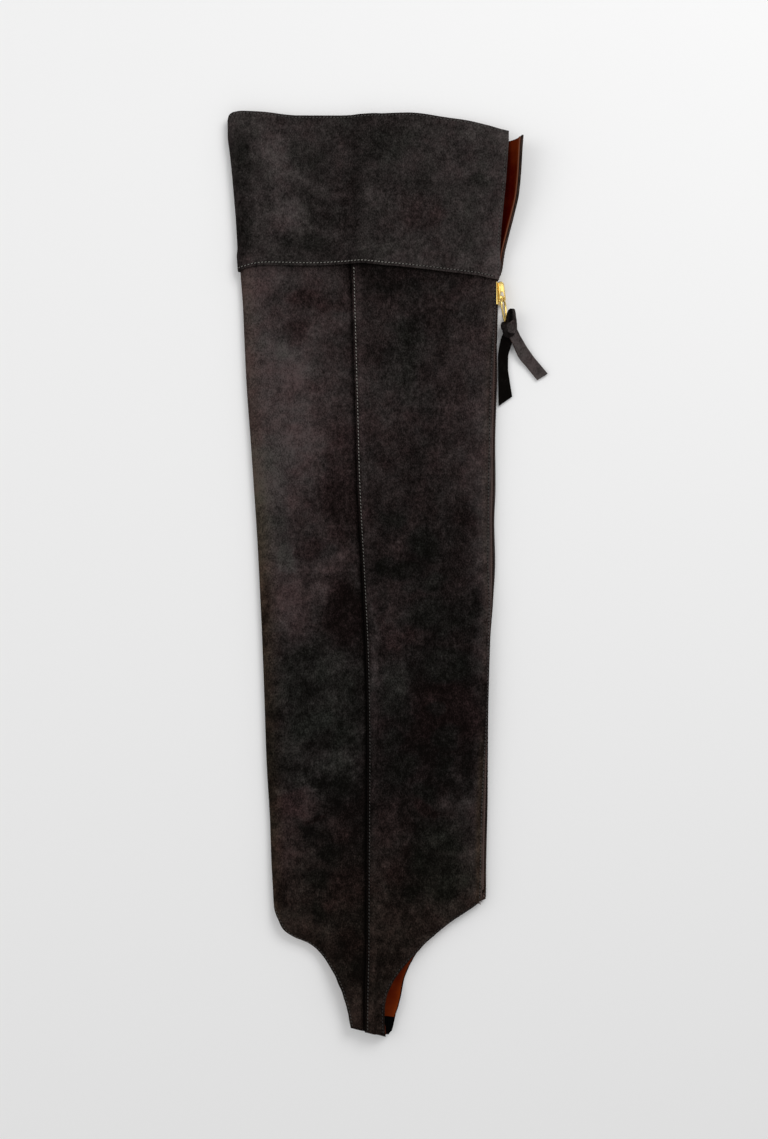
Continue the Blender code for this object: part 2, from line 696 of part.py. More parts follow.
# stirrup elastic: from the inner strap's end, folded under and up inside the outer strap
ELASTIC_THICK = 1.0
ELASTIC_LOW = 3.4        # underside of its lower leg, between the strap and its lining
ELASTIC = [
    dict(up=26.0, low_left=-22.6, low_right=7.6, high_left=-27.5, high_right=-3.4),
    dict(up=12.1, low_left=-19.8, low_right=5.2, high_left=-25.6, high_right=-3.4),
    dict(up=4.6, low_left=-20.6, low_right=2.9, high_left=-24.0, high_right=-2.9),
    dict(up=2.4, low_left=-21.0, low_right=1.6, high_left=-23.2, high_right=-1.6),
]
FOLD_OUT = 1.8
FOLD_LEVEL = 3.25


def elastic_row(left, right, level, height, slant):
    row = []
    for part in (0.0, 0.5, 1.0):
        x = mix(left, right, part)
        row.append(Vector((x, level + slant * (-10.0 - x) * 0.19, height)))
    return row


elastic_grid = []
for size in ELASTIC:
    slant = max(0.0, min(1.0, (12.1 - size["up"]) / 8))
    elastic_grid.append(elastic_row(size["low_left"], size["low_right"], size["up"], ELASTIC_LOW, slant))
elastic_grid.pop()
for angle in (-90, -45, 0, 45, 90):
    bend = math.radians(angle)
    share = (angle + 90) / 180
    left = mix(-21.0, -23.2, share)
    right = mix(1.9, -0.9, share)
    level = FOLD_LEVEL + 0.9 - FOLD_OUT * math.cos(bend)
    height = ELASTIC_LOW + FOLD_OUT * (1 + math.sin(bend))
    elastic_grid.append(elastic_row(left, right, level, height, 1.0))
for size in ELASTIC[2::-1]:
    slant = max(0.0, min(1.0, (12.1 - size["up"]) / 8))
    height = ELASTIC_LOW + 2 * FOLD_OUT
    elastic_grid.append(elastic_row(size["high_left"], size["high_right"], size["up"], height, slant))
stirrup_elastic = finish(skin("stirrup_elastic", [elastic_grid], ELASTIC_THICK), BLACK_ELASTIC)

# zip slider: two plates joined by a neck, with an arched bridge that holds the pull
SLIDER_FOOT = 526.4
SLIDER_HEAD = 543.0
PLATE_HALF = 4.3
PLATE_THICK = 1.3
BRIDGE_HALF = 1.3
BRIDGE_TOP = 7.0
HINGE_UP = 531.2
HINGE_OUT = 4.2
WIRE = 0.75
SLIDER_AT = zip_frame((SLIDER_FOOT + SLIDER_HEAD) / 2)


def on_slider(across, up, outward):
    """A place by its distance across the zip, its height and its distance off the flat."""
    middle, side, out = SLIDER_AT
    place = middle + side * across + out * outward
    return Vector((place.x * MM, (up - LENGTH / 2) * MM, place.z * MM))


def block(name, across, up, outward, bevel, hidden=False):
    """A bevelled block between limits across, along and off the zip."""
    bpy.ops.mesh.primitive_cube_add(size=1)
    thing = bpy.context.object
    thing.name = thing.data.name = name
    middle, side, out = SLIDER_AT
    centre = on_slider(sum(across) / 2, sum(up) / 2, sum(outward) / 2)
    turn = Matrix((-side, (0, 1, 0), out)).transposed().to_4x4()
    size = Matrix.Diagonal(((across[1] - across[0]) * MM, (up[1] - up[0]) * MM, (outward[1] - outward[0]) * MM, 1))
    thing.data.transform(Matrix.Translation(centre) @ turn @ size)
    if bevel:
        rounding = thing.modifiers.new("rounding", "BEVEL")
        rounding.width = bevel * MM
        rounding.segments = 2
        rounding.limit_method = "ANGLE"
    for home in list(thing.users_collection):
        home.objects.unlink(thing)
    COLLECTION.objects.link(thing)
    if hidden:
        thing.hide_render = True
        thing.display_type = "WIRE"
    return thing


def boolean(thing, other, operation):
    step = thing.modifiers.new(operation.lower(), "BOOLEAN")
    step.operation = operation
    step.solver = "EXACT"
    step.object = other


zip_slider = block("zip_slider", (-PLATE_HALF, PLATE_HALF), (SLIDER_FOOT, SLIDER_HEAD),
                   (GAP, GAP + PLATE_THICK), 0.5)
slider_back = block("slider_back", (-1.9, 1.9), (SLIDER_FOOT + 1.5, 536.0), (-3.9, -3.0), 0.2, True)
slider_neck = block("slider_neck", (-1.0, 1.0), (533.5, 535.7), (-3.4, 0.8), 0.2, True)
slider_bridge = block("slider_bridge", (-BRIDGE_HALF, BRIDGE_HALF), (528.2, 542.0), (1.0, BRIDGE_TOP), 1.1, True)
bridge_eye = block("bridge_eye", (-4, 4), (530.0, 536.2), (GAP + PLATE_THICK + 0.6, BRIDGE_TOP - 1.2), 0.8, True)
boolean(slider_bridge, bridge_eye, "DIFFERENCE")
for other in (slider_back, slider_neck, slider_bridge):
    boolean(zip_slider, other, "UNION")
finish(zip_slider, GOLD)

# pull: a narrow wire drop through the bridge, seen along the leg
RING = [
    dict(down=0.0, half=1.2), dict(down=0.5, half=2.6), dict(down=2.2, half=4.3),
    dict(down=5.0, half=5.2), dict(down=8.5, half=4.6), dict(down=12.5, half=3.2),
    dict(down=15.6, half=2.2), dict(down=17.0, half=1.2), dict(down=17.4, half=0.0),
]
RING_LEAN = 0.105


def wire(name, radius, hidden=False):
    """A closed wire along the pull's drop shape."""
    curve = bpy.data.curves.new(name, "CURVE")
    curve.dimensions = "3D"
    curve.bevel_depth = radius * MM
    curve.bevel_resolution = 2
    line = curve.splines.new("POLY")
    places = [(0.0, -0.1)]
    places += [(row["half"], row["down"]) for row in RING]
    places += [(-row["half"], row["down"]) for row in RING[-2::-1]]
    line.points.add(len(places) - 1)
    for point, (half, down) in zip(line.points, places):
        spot = on_slider(half, HINGE_UP - down, HINGE_OUT + RING_LEAN * down)
        point.co = (*spot, 1)
    line.use_cyclic_u = True
    curve.use_fill_caps = True
    thing = bpy.data.objects.new(name, curve)
    COLLECTION.objects.link(thing)
    if hidden:
        thing.hide_render = True
        thing.display_type = "WIRE"
    return thing


zip_pull = wire("zip_pull", WIRE)
finish(zip_pull, GOLD)

# tie: a suede strip knotted through the pull, with two cut tails
KNOT = [
    dict(x=87.1, up=508.3, z=6.3, wide=6.1, tall=8.4, deep=5.9),
    dict(x=89.9, up=514.3, z=7.0, wide=3.4, tall=9.2, deep=5.0),
]
TAIL_LEFT = [
    dict(left=83.6, left_up=507.0, right=90.0, right_up=506.0, z=6.4),
    dict(left=81.2, left_up=499.5, right=89.6, right_up=499.0, z=3.8),
    dict(left=80.2, left_up=489.5, right=87.0, right_up=489.9, z=2.1),
    dict(left=80.1, left_up=479.0, right=86.9, right_up=481.5, z=1.7),
    dict(left=80.2, left_up=467.0, right=88.3, right_up=471.5, z=1.7),
    dict(left=80.5, left_up=454.0, right=90.0, right_up=460.8, z=1.7),
]
TAIL_RIGHT = [
    dict(left=86.6, left_up=504.5, right=92.4, right_up=510.0, z=7.8),
    dict(left=90.2, left_up=499.0, right=94.9, right_up=505.4, z=5.6),
    dict(left=94.8, left_up=489.3, right=99.8, right_up=497.4, z=3.4),
    dict(left=101.0, left_up=481.9, right=106.4, right_up=488.2, z=2.1),
    dict(left=108.5, left_up=472.8, right=115.6, right_up=477.2, z=1.7),
]
TIE_THICK = 1.4


def lobe(name, size, hidden=False):
    bpy.ops.mesh.primitive_uv_sphere_add(segments=20, ring_count=12, radius=1)
    thing = bpy.context.object
    thing.name = thing.data.name = name
    centre = Vector((size["x"] * MM, (size["up"] - LENGTH / 2) * MM, size["z"] * MM))
    scale = Matrix.Diagonal((size["wide"] * MM, size["tall"] * MM, size["deep"] * MM, 1))
    thing.data.transform(Matrix.Translation(centre) @ scale)
    for home in list(thing.users_collection):
        home.objects.unlink(thing)
    COLLECTION.objects.link(thing)
    if hidden:
        thing.hide_render = True
        thing.display_type = "WIRE"
    return thing


def tail(name, rows):
    grid = []
    for row in rows:
        left = Vector((row["left"], row["left_up"], row["z"]))
        right = Vector((row["right"], row["right_up"], row["z"]))
        grid.append([left, right])
    thing = skin(name, [grid], TIE_THICK, -1)
    thing.hide_render = True
    thing.display_type = "WIRE"
    return thing


suede_tie = lobe("suede_tie", KNOT[0])
knot_lobe = lobe("knot_lobe", KNOT[1], True)
tail_left = tail("tail_left", TAIL_LEFT)
tail_right = tail("tail_right", TAIL_RIGHT)
wire_room = wire("wire_room", WIRE + GAP, True)
bpy.ops.object.select_all(action="DESELECT")
bpy.context.view_layer.objects.active = wire_room
wire_room.select_set(True)
bpy.ops.object.convert(target="MESH")
for other in (knot_lobe, tail_left, tail_right):
    boolean(suede_tie, other, "UNION")
boolean(suede_tie, wire_room, "DIFFERENCE")
finish(suede_tie, SUEDE_BROWN)

# the pull and its tie swing together on the bridge
hinge = bpy.data.objects.new("pull_hinge", None)
COLLECTION.objects.link(hinge)
hinge.location = on_slider(0, HINGE_UP, HINGE_OUT)
for thing in (zip_pull, suede_tie):
    thing.parent = hinge
    thing.matrix_parent_inverse = Matrix.Translation(-hinge.location)
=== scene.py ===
"""Looks of a suede over-the-knee gaiter, laid flat on a pale table."""
import functools
import logging
import math
import random
from contextlib import contextmanager
from dataclasses import dataclass, field
from enum import Enum
from typing import Callable, Iterator, Optional, Sequence

import bmesh
import bpy
from mathutils import Matrix, Vector, noise


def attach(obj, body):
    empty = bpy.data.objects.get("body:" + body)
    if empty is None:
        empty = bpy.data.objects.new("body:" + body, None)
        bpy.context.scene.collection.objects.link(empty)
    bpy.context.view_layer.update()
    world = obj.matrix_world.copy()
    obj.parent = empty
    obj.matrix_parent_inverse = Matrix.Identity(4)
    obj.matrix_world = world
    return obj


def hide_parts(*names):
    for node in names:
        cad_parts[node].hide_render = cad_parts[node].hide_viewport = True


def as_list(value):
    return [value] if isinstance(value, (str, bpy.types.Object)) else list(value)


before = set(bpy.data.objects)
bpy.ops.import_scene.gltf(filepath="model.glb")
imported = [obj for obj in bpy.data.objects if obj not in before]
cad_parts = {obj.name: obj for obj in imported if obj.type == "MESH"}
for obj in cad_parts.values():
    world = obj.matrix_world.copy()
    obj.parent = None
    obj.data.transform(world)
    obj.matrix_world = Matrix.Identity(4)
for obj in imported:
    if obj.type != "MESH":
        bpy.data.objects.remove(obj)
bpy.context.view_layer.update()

LOG = logging.getLogger("gaiter")
MM = 0.001
# whole length and half of it, in mm: heights start at the longer strap's end, the world's in the middle
LENGTH = 665.9
HALF = LENGTH / 2
# a suede ply with the air on it lifts the next one by this much, in mm
STEP = 1.7
# how far the cuff's lining lies inside the cuff's outer face, in mm
INSIDE = 1.82
# a stitch and its gap, in mm
STITCH_PITCH = 2.5
# heights where the hem runs into the zip edge, where its last row lies, and where the plies part
HEM_TOP, HEM_END, MOUTH_FOOT = 97.0, 97.6, 543.0
# heights over the cuff's foot: far below it; where the leg sinks under the cuff, is down, and comes back;
# and where the cuff starts to come down off the leg, with the length of that slope
BELOW_CUFF = -9.0
UNDER_CUFF = (-8.0, -0.3, 30.0, 60.0)
CUFF_DROP = (10.3, 7.7)
# x beside the zip on the cuff and on the leg, where a row's height is read
ZIP_SIDE, BACK_SIDE = 82.0, 78.0
# highest section that the pile's look is placed on
NAP_TOP = 640.0
# the pile's patches drift in the same way in every run
DRIFT_SEED = 372

# height, fold, cut edge in mm; turn of the zip flat in degrees
LEG = (
    (94, -82.3, 66.9, 48), (101.2, -82.7, 68.0, 38), (127, -84.1, 68.4, 36), (155, -85.1, 69.0, 37),
    (198, -87.6, 70.6, 24), (242, -89.1, 72.4, 7), (285, -90.7, 73.3, 12), (313, -92.0, 74.3, 25),
    (342, -93.4, 73.9, 47), (371, -95.1, 74.0, 38), (393, -96.6, 74.3, 45), (432, -99.3, 74.9, 36),
    (469, -102.0, 75.8, 41), (500, -103.5, 77.1, 25), (527, -104.7, 78.2, 20), (543, -105.9, 78.3, 20),
)
# above the slider, where the two plies part: the same, then the bend's radius, the crest, the lower ply's
# cut edge, its turn and its bend's radius
MOUTH = (
    (543, -105.9, 78.3, 20, 2.2, 8.53, 79.0, 20, 2.2), (552, -107.4, 80.3, 50, 4, 8.7, 82.6, 8, 3.6),
    (563, -108.2, 80.9, 68, 9, 8.8, 84.2, 2, 6.2), (577, -109.0, 81.5, 76, 14, 9.0, 87.5, -2, 9.6),
    (590, -109.8, 82.6, 78, 16, 9.2, 90.8, -4, 12.2), (604, -111.0, 83.9, 80, 18, 9.3, 93.9, -5, 15.0),
    (618, -112.2, 85.2, 80, 18, 9.4, 95.2, -5, 17.6), (637, -114.2, 86.4, 80, 18, 9.5, 96.2, -5, 19.6),
    (648, -115.5, 87.0, 80, 18, 9.5, 96.9, -5, 20.6), (666, -115.7, 87.2, 80, 18, 9.5, 97.2, -5, 20.8),
)
# height, then left and right edges of the hem and strap, for the upper and the lower ply
HEM = (
    (3.2, -26.6, -1.5, -19.6, 4.6), (12.1, -28.2, -2.2, -20.4, 5.4), (20, -29.8, -2.1, -21.8, 7.8),
    (27, -31.5, -1.2, -23.9, 9.5), (39, -35.7, 3.7, -29.0, 11.9), (47, -40.0, 9.3, -34.4, 14.9),
    (53.7, -44.5, 15.3, -40.6, 18.3), (60, -49.2, 21.4, -47.0, 22.2), (66.7, -57.4, 27.4, -56.6, 27.6),
    (71, -67.4, 32.4, -67.2, 32.4), (76, -74.6, 38.3, -74.6, 38.3), (82, -78.4, 46.0, -78.4, 46.0),
    (88, -80.9, 54.8, -80.9, 54.8), (94, -82.3, 63.5, -82.3, 63.5), (97.6, -82.3, 66.6, -82.3, 67.9),
)
# fair lines of the form: pairs of a place across or along it, and a place or a height there, in mm
LINES = {
    "seam": ((0, -16.3), (33, -16.0), (62, -15.0), (119, -14.8), (177, -14.4), (206, -14.3), (263, -15.1),
             (321, -17.6), (378, -20.7), (407, -22.0), (436, -22.7), (494, -24.3), (556, -25.9),
             (666, -27.5)),
    "foot": ((-120, 549.4), (-107.8, 550.5), (-97, 553.8), (-86, 555.0), (-54, 554.5), (-21, 555.9),
             (0, 554.8), (22, 552.7), (43, 550.2), (65, 547.3), (80, 544.0), (120, 543.6)),
    "head": ((-115.7, 659.2), (-114.6, 662.3), (-111.4, 664.6), (-104, 665.9), (-93, 665.7), (-65, 662.9),
             (-36, 662.8), (-7, 664.3), (15, 665.0), (43, 661.4), (58, 659.2), (72, 655.6), (87, 651.0),
             (100, 650.0)),
    "head_under": ((-115.7, 659.2), (-114.6, 661.6), (-111.4, 663.8), (-104, 664.8), (-93, 664.6),
                   (-65, 661.8), (-36, 661.7), (-7, 663.0), (15, 663.0), (43, 658.0), (58, 655.0),
                   (72, 650.0), (87, 644.6), (100, 645.6)),
    "low_mid": ((0, 10.0), (38, 10.0), (60, 6.4), (101, 6.2), (150, 3.8), (700, 3.8)),
    "low_fold": ((0, 8.0), (101, 8.0), (150, 6.6), (700, 6.6)),
    "cuff_mid": ((-8, 3.8), (-0.3, 5.5), (10.3, 5.5), (18, 6.2), (150, 6.2)),
    "cuff_fold": ((-8, 6.6), (-0.3, 8.0), (10.3, 8.0), (18, 8.4), (150, 8.4)),
}
# soft ridges and troughs of the upper ply: x and height of both ends, width and height, in mm
CREASES = (
    (-80, 600, -35, 575, 9, -0.35), (-75, 640, -30, 625, 10, 0.4), (10, 640, 50, 600, 12, 0.4),
    (20, 590, 60, 575, 8, -0.3), (-85, 500, -50, 470, 10, 0.5), (-80, 455, -40, 440, 8, -0.4),
    (-75, 400, -45, 360, 11, 0.5), (-70, 330, -35, 300, 9, 0.5), (-60, 285, -25, 262, 7, -0.4),
    (-65, 240, -30, 225, 8, 0.4), (-60, 190, -30, 160, 7, -0.4), (-65, 135, -35, 110, 8, 0.4),
    (5, 500, 50, 470, 12, 0.5), (0, 430, 45, 400, 9, -0.35), (10, 360, 60, 340, 8, 0.5),
    (15, 315, 55, 290, 8, -0.45), (10, 265, 50, 240, 9, 0.45), (20, 205, 55, 170, 8, -0.45),
    (15, 150, 50, 120, 9, 0.5), (-63, 155, -38, 162, 1.8, -0.3), (-66, 160, -40, 167, 4, 0.35),
    (-60, 148, -40, 130, 5, -0.3),
)
# height, then how bright the suede is from the fold edge to the zip edge; the last column, beside the zip
# edge, is raised as a painted highlight where the edge bends down
LEG_NAP = (
    (0, 0.42, 0.42, 0.30, 0.36, 0.45, 0.45, 0.5), (60, 0.42, 0.40, 0.24, 0.34, 0.45, 0.45, 0.5),
    (90, 0.42, 0.36, 0.24, 0.36, 0.38, 0.42, 0.5), (110, 0.44, 0.34, 0.26, 0.32, 0.22, 0.32, 0.65),
    (140, 0.48, 0.34, 0.20, 0.36, 0.24, 0.34, 0.55), (175, 0.36, 0.36, 0.22, 0.22, 0.16, 0.30, 0.52),
    (200, 0.38, 0.34, 0.34, 0.24, 0.10, 0.12, 0.45), (235, 0.42, 0.34, 0.38, 0.36, 0.14, 0.14, 0.40),
    (270, 0.52, 0.38, 0.38, 0.38, 0.22, 0.22, 0.55), (300, 0.58, 0.54, 0.30, 0.38, 0.26, 0.22, 0.70),
    (335, 0.68, 0.56, 0.40, 0.34, 0.28, 0.34, 0.70), (370, 0.70, 0.52, 0.38, 0.34, 0.32, 0.40, 0.70),
    (400, 0.80, 0.68, 0.44, 0.42, 0.38, 0.48, 0.75), (430, 0.80, 0.78, 0.54, 0.48, 0.42, 0.50, 0.72),
    (460, 0.82, 0.76, 0.56, 0.50, 0.46, 0.48, 0.64), (490, 0.82, 0.80, 0.58, 0.44, 0.42, 0.48, 0.58),
    (520, 0.80, 0.58, 0.60, 0.45, 0.42, 0.45, 0.58), (545, 0.85, 0.68, 0.50, 0.30, 0.34, 0.48, 0.58),
)
CUFF_NAP = (
    (545, 0.52, 0.50, 0.42, 0.50, 0.58, 0.60, 0.75), (570, 0.46, 0.48, 0.38, 0.50, 0.55, 0.62, 0.75),
    (596, 0.48, 0.62, 0.42, 0.50, 0.50, 0.60, 0.70), (625, 0.52, 0.60, 0.48, 0.48, 0.48, 0.62, 0.68),
    (650, 0.62, 0.60, 0.52, 0.48, 0.56, 0.66, 0.85), (666, 0.62, 0.60, 0.52, 0.48, 0.56, 0.66, 0.85),
)
# stroked or rubbed patches: x and height of the centre, half width and height, lean, tone, hue
PATCHES = (
    # grey-green bloom of the lower front panel and its dark spots
    (-48, 248, 34, 34, 0.12, 0.0, -0.85), (-50, 200, 32, 32, 0.1, 0.02, -0.75),
    (-46, 212, 9, 8, 0, -0.13, 0.2), (-49, 181, 13, 4, 0.05, -0.14, -0.2),
    (-31, 176, 9, 11, 0.2, -0.10, -0.2), (-34, 200, 12, 6, 0.1, 0.10, 0), (-68, 207, 8, 10, 0, 0.07, 0),
    (-38, 268, 10, 6, 0.3, 0.07, 0), (-62, 253, 6, 6, 0, -0.06, 0), (-78, 229, 5, 5, 0, -0.14, -0.1),
    (-58, 276, 14, 6, 0.3, -0.07, 0), (-33, 254, 7, 5, 0, -0.05, 0),
    # below it: a dark blue-black stroke under a thin reddish crease, the crease's dark line being painted
    # shade
    (-62, 168, 16, 9, 0.1, 0.07, 0.7), (-50, 158, 13, 1.6, 0.28, -0.14, 0.7),
    (-51, 140, 17, 5.5, -0.72, -0.22, -0.2), (-41, 130, 7, 7, 0, -0.16, -0.5),
    (-36, 147, 7, 12, 0, 0.05, 0.5), (-73, 130, 9, 34, 0, 0.05, 0.25), (-52, 112, 7, 7, 0, -0.12, -0.5),
    (-50, 88, 4.5, 9, 0, -0.12, -0.5), (-30, 108, 11, 13, 0, -0.03, 0.6), (-37, 93, 13, 6, 0, 0.04, 0.4),
    (-26, 64, 8, 13, 0, -0.10, 0.5), (-20, 50, 5, 9, 0, -0.14, -0.3), (-79, 101, 3, 12, 0, -0.14, 0),
    (-26, 20, 9, 16, 0, 0.10, 0.1),
    # front panel above: reddish dark beside the seam, pale purple in the middle, olive on the fold
    (-32, 305, 13, 24, 0.1, -0.10, 0.6), (-38, 340, 15, 6, 0.4, 0.14, 0.1), (-47, 315, 5, 9, 0, 0.14, 0.1),
    (-68, 308, 13, 24, 0, 0.08, 0.2), (-57, 350, 9, 10, 0, -0.06, 0.4), (-73, 345, 7, 12, 0, 0.05, -0.6),
    (-84, 395, 15, 46, 0, 0.03, -0.45), (-33, 400, 11, 44, 0, -0.05, 0.45), (-66, 408, 9, 3, 0, -0.07, 0.1),
    (-64, 428, 14, 9, 0, 0.07, 0), (-45, 382, 14, 12, 0, -0.04, 0.2), (-52, 530, 24, 6, -0.05, -0.12, 0.5),
    (-72, 508, 12, 7, 0, -0.10, 0.4), (-46, 512, 18, 6, 0.1, 0.12, 0), (-82, 500, 9, 12, 0, 0.0, -0.4),
    (-76, 480, 16, 6, 0.2, 0.06, 0), (-50, 470, 12, 5, -0.2, -0.05, 0.2), (-88, 308, 4, 20, 0, -0.13, 0.2),
    (-58, 455, 16, 7, 0.2, 0.05, 0),
    # back panel: grey-green clouds between reddish and purple ones
    (38, 122, 21, 30, 0, 0.0, -0.95), (17, 103, 6, 6, 0, -0.10, -0.6), (42, 98, 8, 7, 0, -0.07, -0.2),
    (48, 134, 9, 9, 0, -0.06, 0), (30, 138, 8, 6, 0, 0.07, 0), (2, 140, 14, 26, 0, 0.03, 0.3),
    (4, 112, 6, 9, 0, -0.05, 0.4), (27, 175, 7.5, 6, 0, -0.16, -0.7), (9, 192, 11, 10, 0, -0.08, -0.7),
    (40, 193, 6.5, 12, 0, -0.10, -0.5), (58, 188, 3.5, 15, 0, -0.16, -0.3), (49, 192, 6, 10, 0, 0.16, -0.2),
    (48, 167, 15, 6, -0.1, 0.16, -0.3), (28, 163, 8, 5, 0, -0.04, 0.8), (4, 212, 8, 10, 0, -0.06, -0.7),
    (42, 230, 24, 24, 0, 0.02, 0.85), (42, 214, 10, 8, 0, -0.02, -1.2), (34, 234, 4, 6, 0, -0.04, -1.2),
    (7, 252, 12, 20, 0, 0.03, -0.8), (14, 226, 5, 6, 0, -0.05, -0.5), (42, 266, 19, 12, 0, 0.03, -0.85),
    (36, 302, 26, 12, 0.1, -0.02, -0.85), (64, 311, 5, 9, 0, -0.20, -0.4), (60, 291, 8, 7, 0, -0.12, -0.2),
    (9, 288, 15, 9, 0.2, 0.04, 0.4), (-10, 270, 2.6, 30, 0, 0.12, -0.1),
    (27, 353, 10, 13, 0.2, -0.04, -0.9), (-4, 337, 6, 5, 0, -0.12, -0.8), (14, 335, 12, 4, 0, -0.07, -0.7),
    (6, 351, 6, 5, 0.4, 0.10, 0.1), (5, 371, 7, 7, 0, -0.04, -0.7), (28, 325, 15, 7, 0, -0.02, -0.8),
    (46, 396, 12, 18, 0, 0.06, 0), (56, 371, 9, 7, 0, -0.05, 0.4), (34, 408, 7, 6, 0, -0.05, 0.1),
    (11, 486, 13, 30, 0, -0.03, -0.6), (15, 510, 11, 10, 0, -0.07, -0.3),
    (8, 541, 20, 4, -0.05, -0.10, -0.4), (36, 545, 22, 4, -0.1, -0.06, 0), (48, 474, 9, 8, 0, -0.05, 0.3),
    (-6, 300, 5, 12, 0, 0.05, 0.3), (20, 440, 10, 12, 0, 0.03, 0.1),
    # cuff
    (-83, 633, 9, 20, 0.1, 0.11, 0), (-60, 634, 14, 8, 0, -0.07, -0.3), (-56, 613, 17, 6, -0.5, 0.09, 0),
    (-69, 590, 10, 11, 0, 0.11, 0), (-60, 571, 20, 6, 0, -0.07, -0.3), (-26, 596, 8, 22, 0, -0.08, 0.2),
    (-10, 604, 9, 9, 0, 0.09, 0), (4, 643, 18, 9, 0, -0.05, -0.3), (66, 615, 10, 7, 0, -0.07, -0.4),
    (28, 592, 14, 13, 0, -0.02, 0.6), (58, 561, 8, 5, 0, 0.09, 0), (77, 561, 5, 6, 0, 0.15, 0),
    (-105, 626, 6, 26, 0, -0.10, -0.2), (-104, 580, 7, 18, 0, -0.10, -0.2),
    (48, 625, 16, 10, 0.3, 0.05, 0.1), (-40, 577, 9, 6, 0.3, 0.06, 0),
)

Object = bpy.types.Object
Material = bpy.types.Material
Socket = bpy.types.NodeSocket
Row = Sequence[float]
Section = dict[str, float]
Value = object
Grid = list[list[Vector]]
Track = Callable[[float], float]
Rule = Callable[[float], float]
Glow = Callable[[Vector], float]
Tint = Callable[[float, float], tuple[float, float]]


class Ply(Enum):
    """Which of the two layers of the flattened tube."""

    UPPER = "outer", 1, 3.2
    UNDER = "inner", -1, 12.1

    @property
    def place(self) -> str:
        """Word for the ply in the names of its pieces."""
        return self.value[0]

    @property
    def side(self) -> int:
        """Which way its outside faces: 1 for up."""
        return self.value[1]

    @property
    def foot(self) -> float:
        """Height of its strap's end, in mm."""
        return self.value[2]


def linear(code: str) -> tuple[float, float, float, float]:
    """Turn an sRGB hex colour into linear values.

    Args:
        code: Six hex digits.

    Returns:
        Linear red, green, blue and an alpha of 1.
    """
    values = [int(code[k:k + 2], 16) / 255 for k in (0, 2, 4)]
    parts = [v / 12.92 if v <= 0.04045 else ((v + 0.055) / 1.055) ** 2.4 for v in values]
    return (parts[0], parts[1], parts[2], 1.0)


def mix(low: float, high: float, share: float) -> float:
    """Return the value a share of the way from low to high."""
    return low + (high - low) * share


def clamp(value: float) -> float:
    """Return a value held between 0 and 1."""
    return max(0.0, min(1.0, value))


def smooth(value: float) -> float:
    """Return a soft 0 to 1 step of a value."""
    value = clamp(value)
    return value * value * (3 - 2 * value)


def ridge(away: float, wide: float) -> float:
    """Return a soft ridge: 1 on its crest, falling to both sides."""
    return math.exp(-(away / wide) ** 2)


class Fair:
    """A fair curve through given places that never overshoots them."""

    def __init__(self, xs: Row, ys: Row) -> None:
        """Work out the slopes.

        Args:
            xs: Rising places.
            ys: Values there.
        """
        self.xs = list(xs)
        self.ys = list(ys)
        runs = [b - a for a, b in zip(self.xs, self.xs[1:])]
        rates = [(d - c) / r for c, d, r in zip(self.ys, self.ys[1:], runs)]
        slopes = [rates[0]]
        for k in range(1, len(rates)):
            if rates[k - 1] * rates[k] <= 0:
                slopes.append(0.0)
            else:
                w1 = 2 * runs[k] + runs[k - 1]
                w2 = runs[k] + 2 * runs[k - 1]
                slopes.append((w1 + w2) / (w1 / rates[k - 1] + w2 / rates[k]))
        slopes.append(rates[-1])
        self.slopes = slopes

    def __call__(self, at: float) -> float:
        """Return the curve's value at one place."""
        if at <= self.xs[0]:
            return self.ys[0]
        if at >= self.xs[-1]:
            return self.ys[-1]
        low, high = 0, len(self.xs) - 1
        while high - low > 1:
            middle = (low + high) // 2
            if self.xs[middle] <= at:
                low = middle
            else:
                high = middle
        run = self.xs[high] - self.xs[low]
        t = (at - self.xs[low]) / run
        a, b = self.ys[low], self.ys[high]
        ma, mb = self.slopes[low] * run, self.slopes[high] * run
        return ((2 * t**3 - 3 * t**2 + 1) * a + (t**3 - 2 * t**2 + t) * ma
                + (3 * t**2 - 2 * t**3) * b + (t**3 - t**2) * mb)


def fairs(names: str, rows: Sequence[Row]) -> dict[str, Fair]:
    """Draw a fair curve through each later column of a table, over its first one.

    Args:
        names: What the later columns are called, with spaces between.
        rows: The table.

    Returns:
        The curves by name.
    """
    first, *others = zip(*rows)
    return {name: Fair(first, other) for name, other in zip(names.split(), others)}


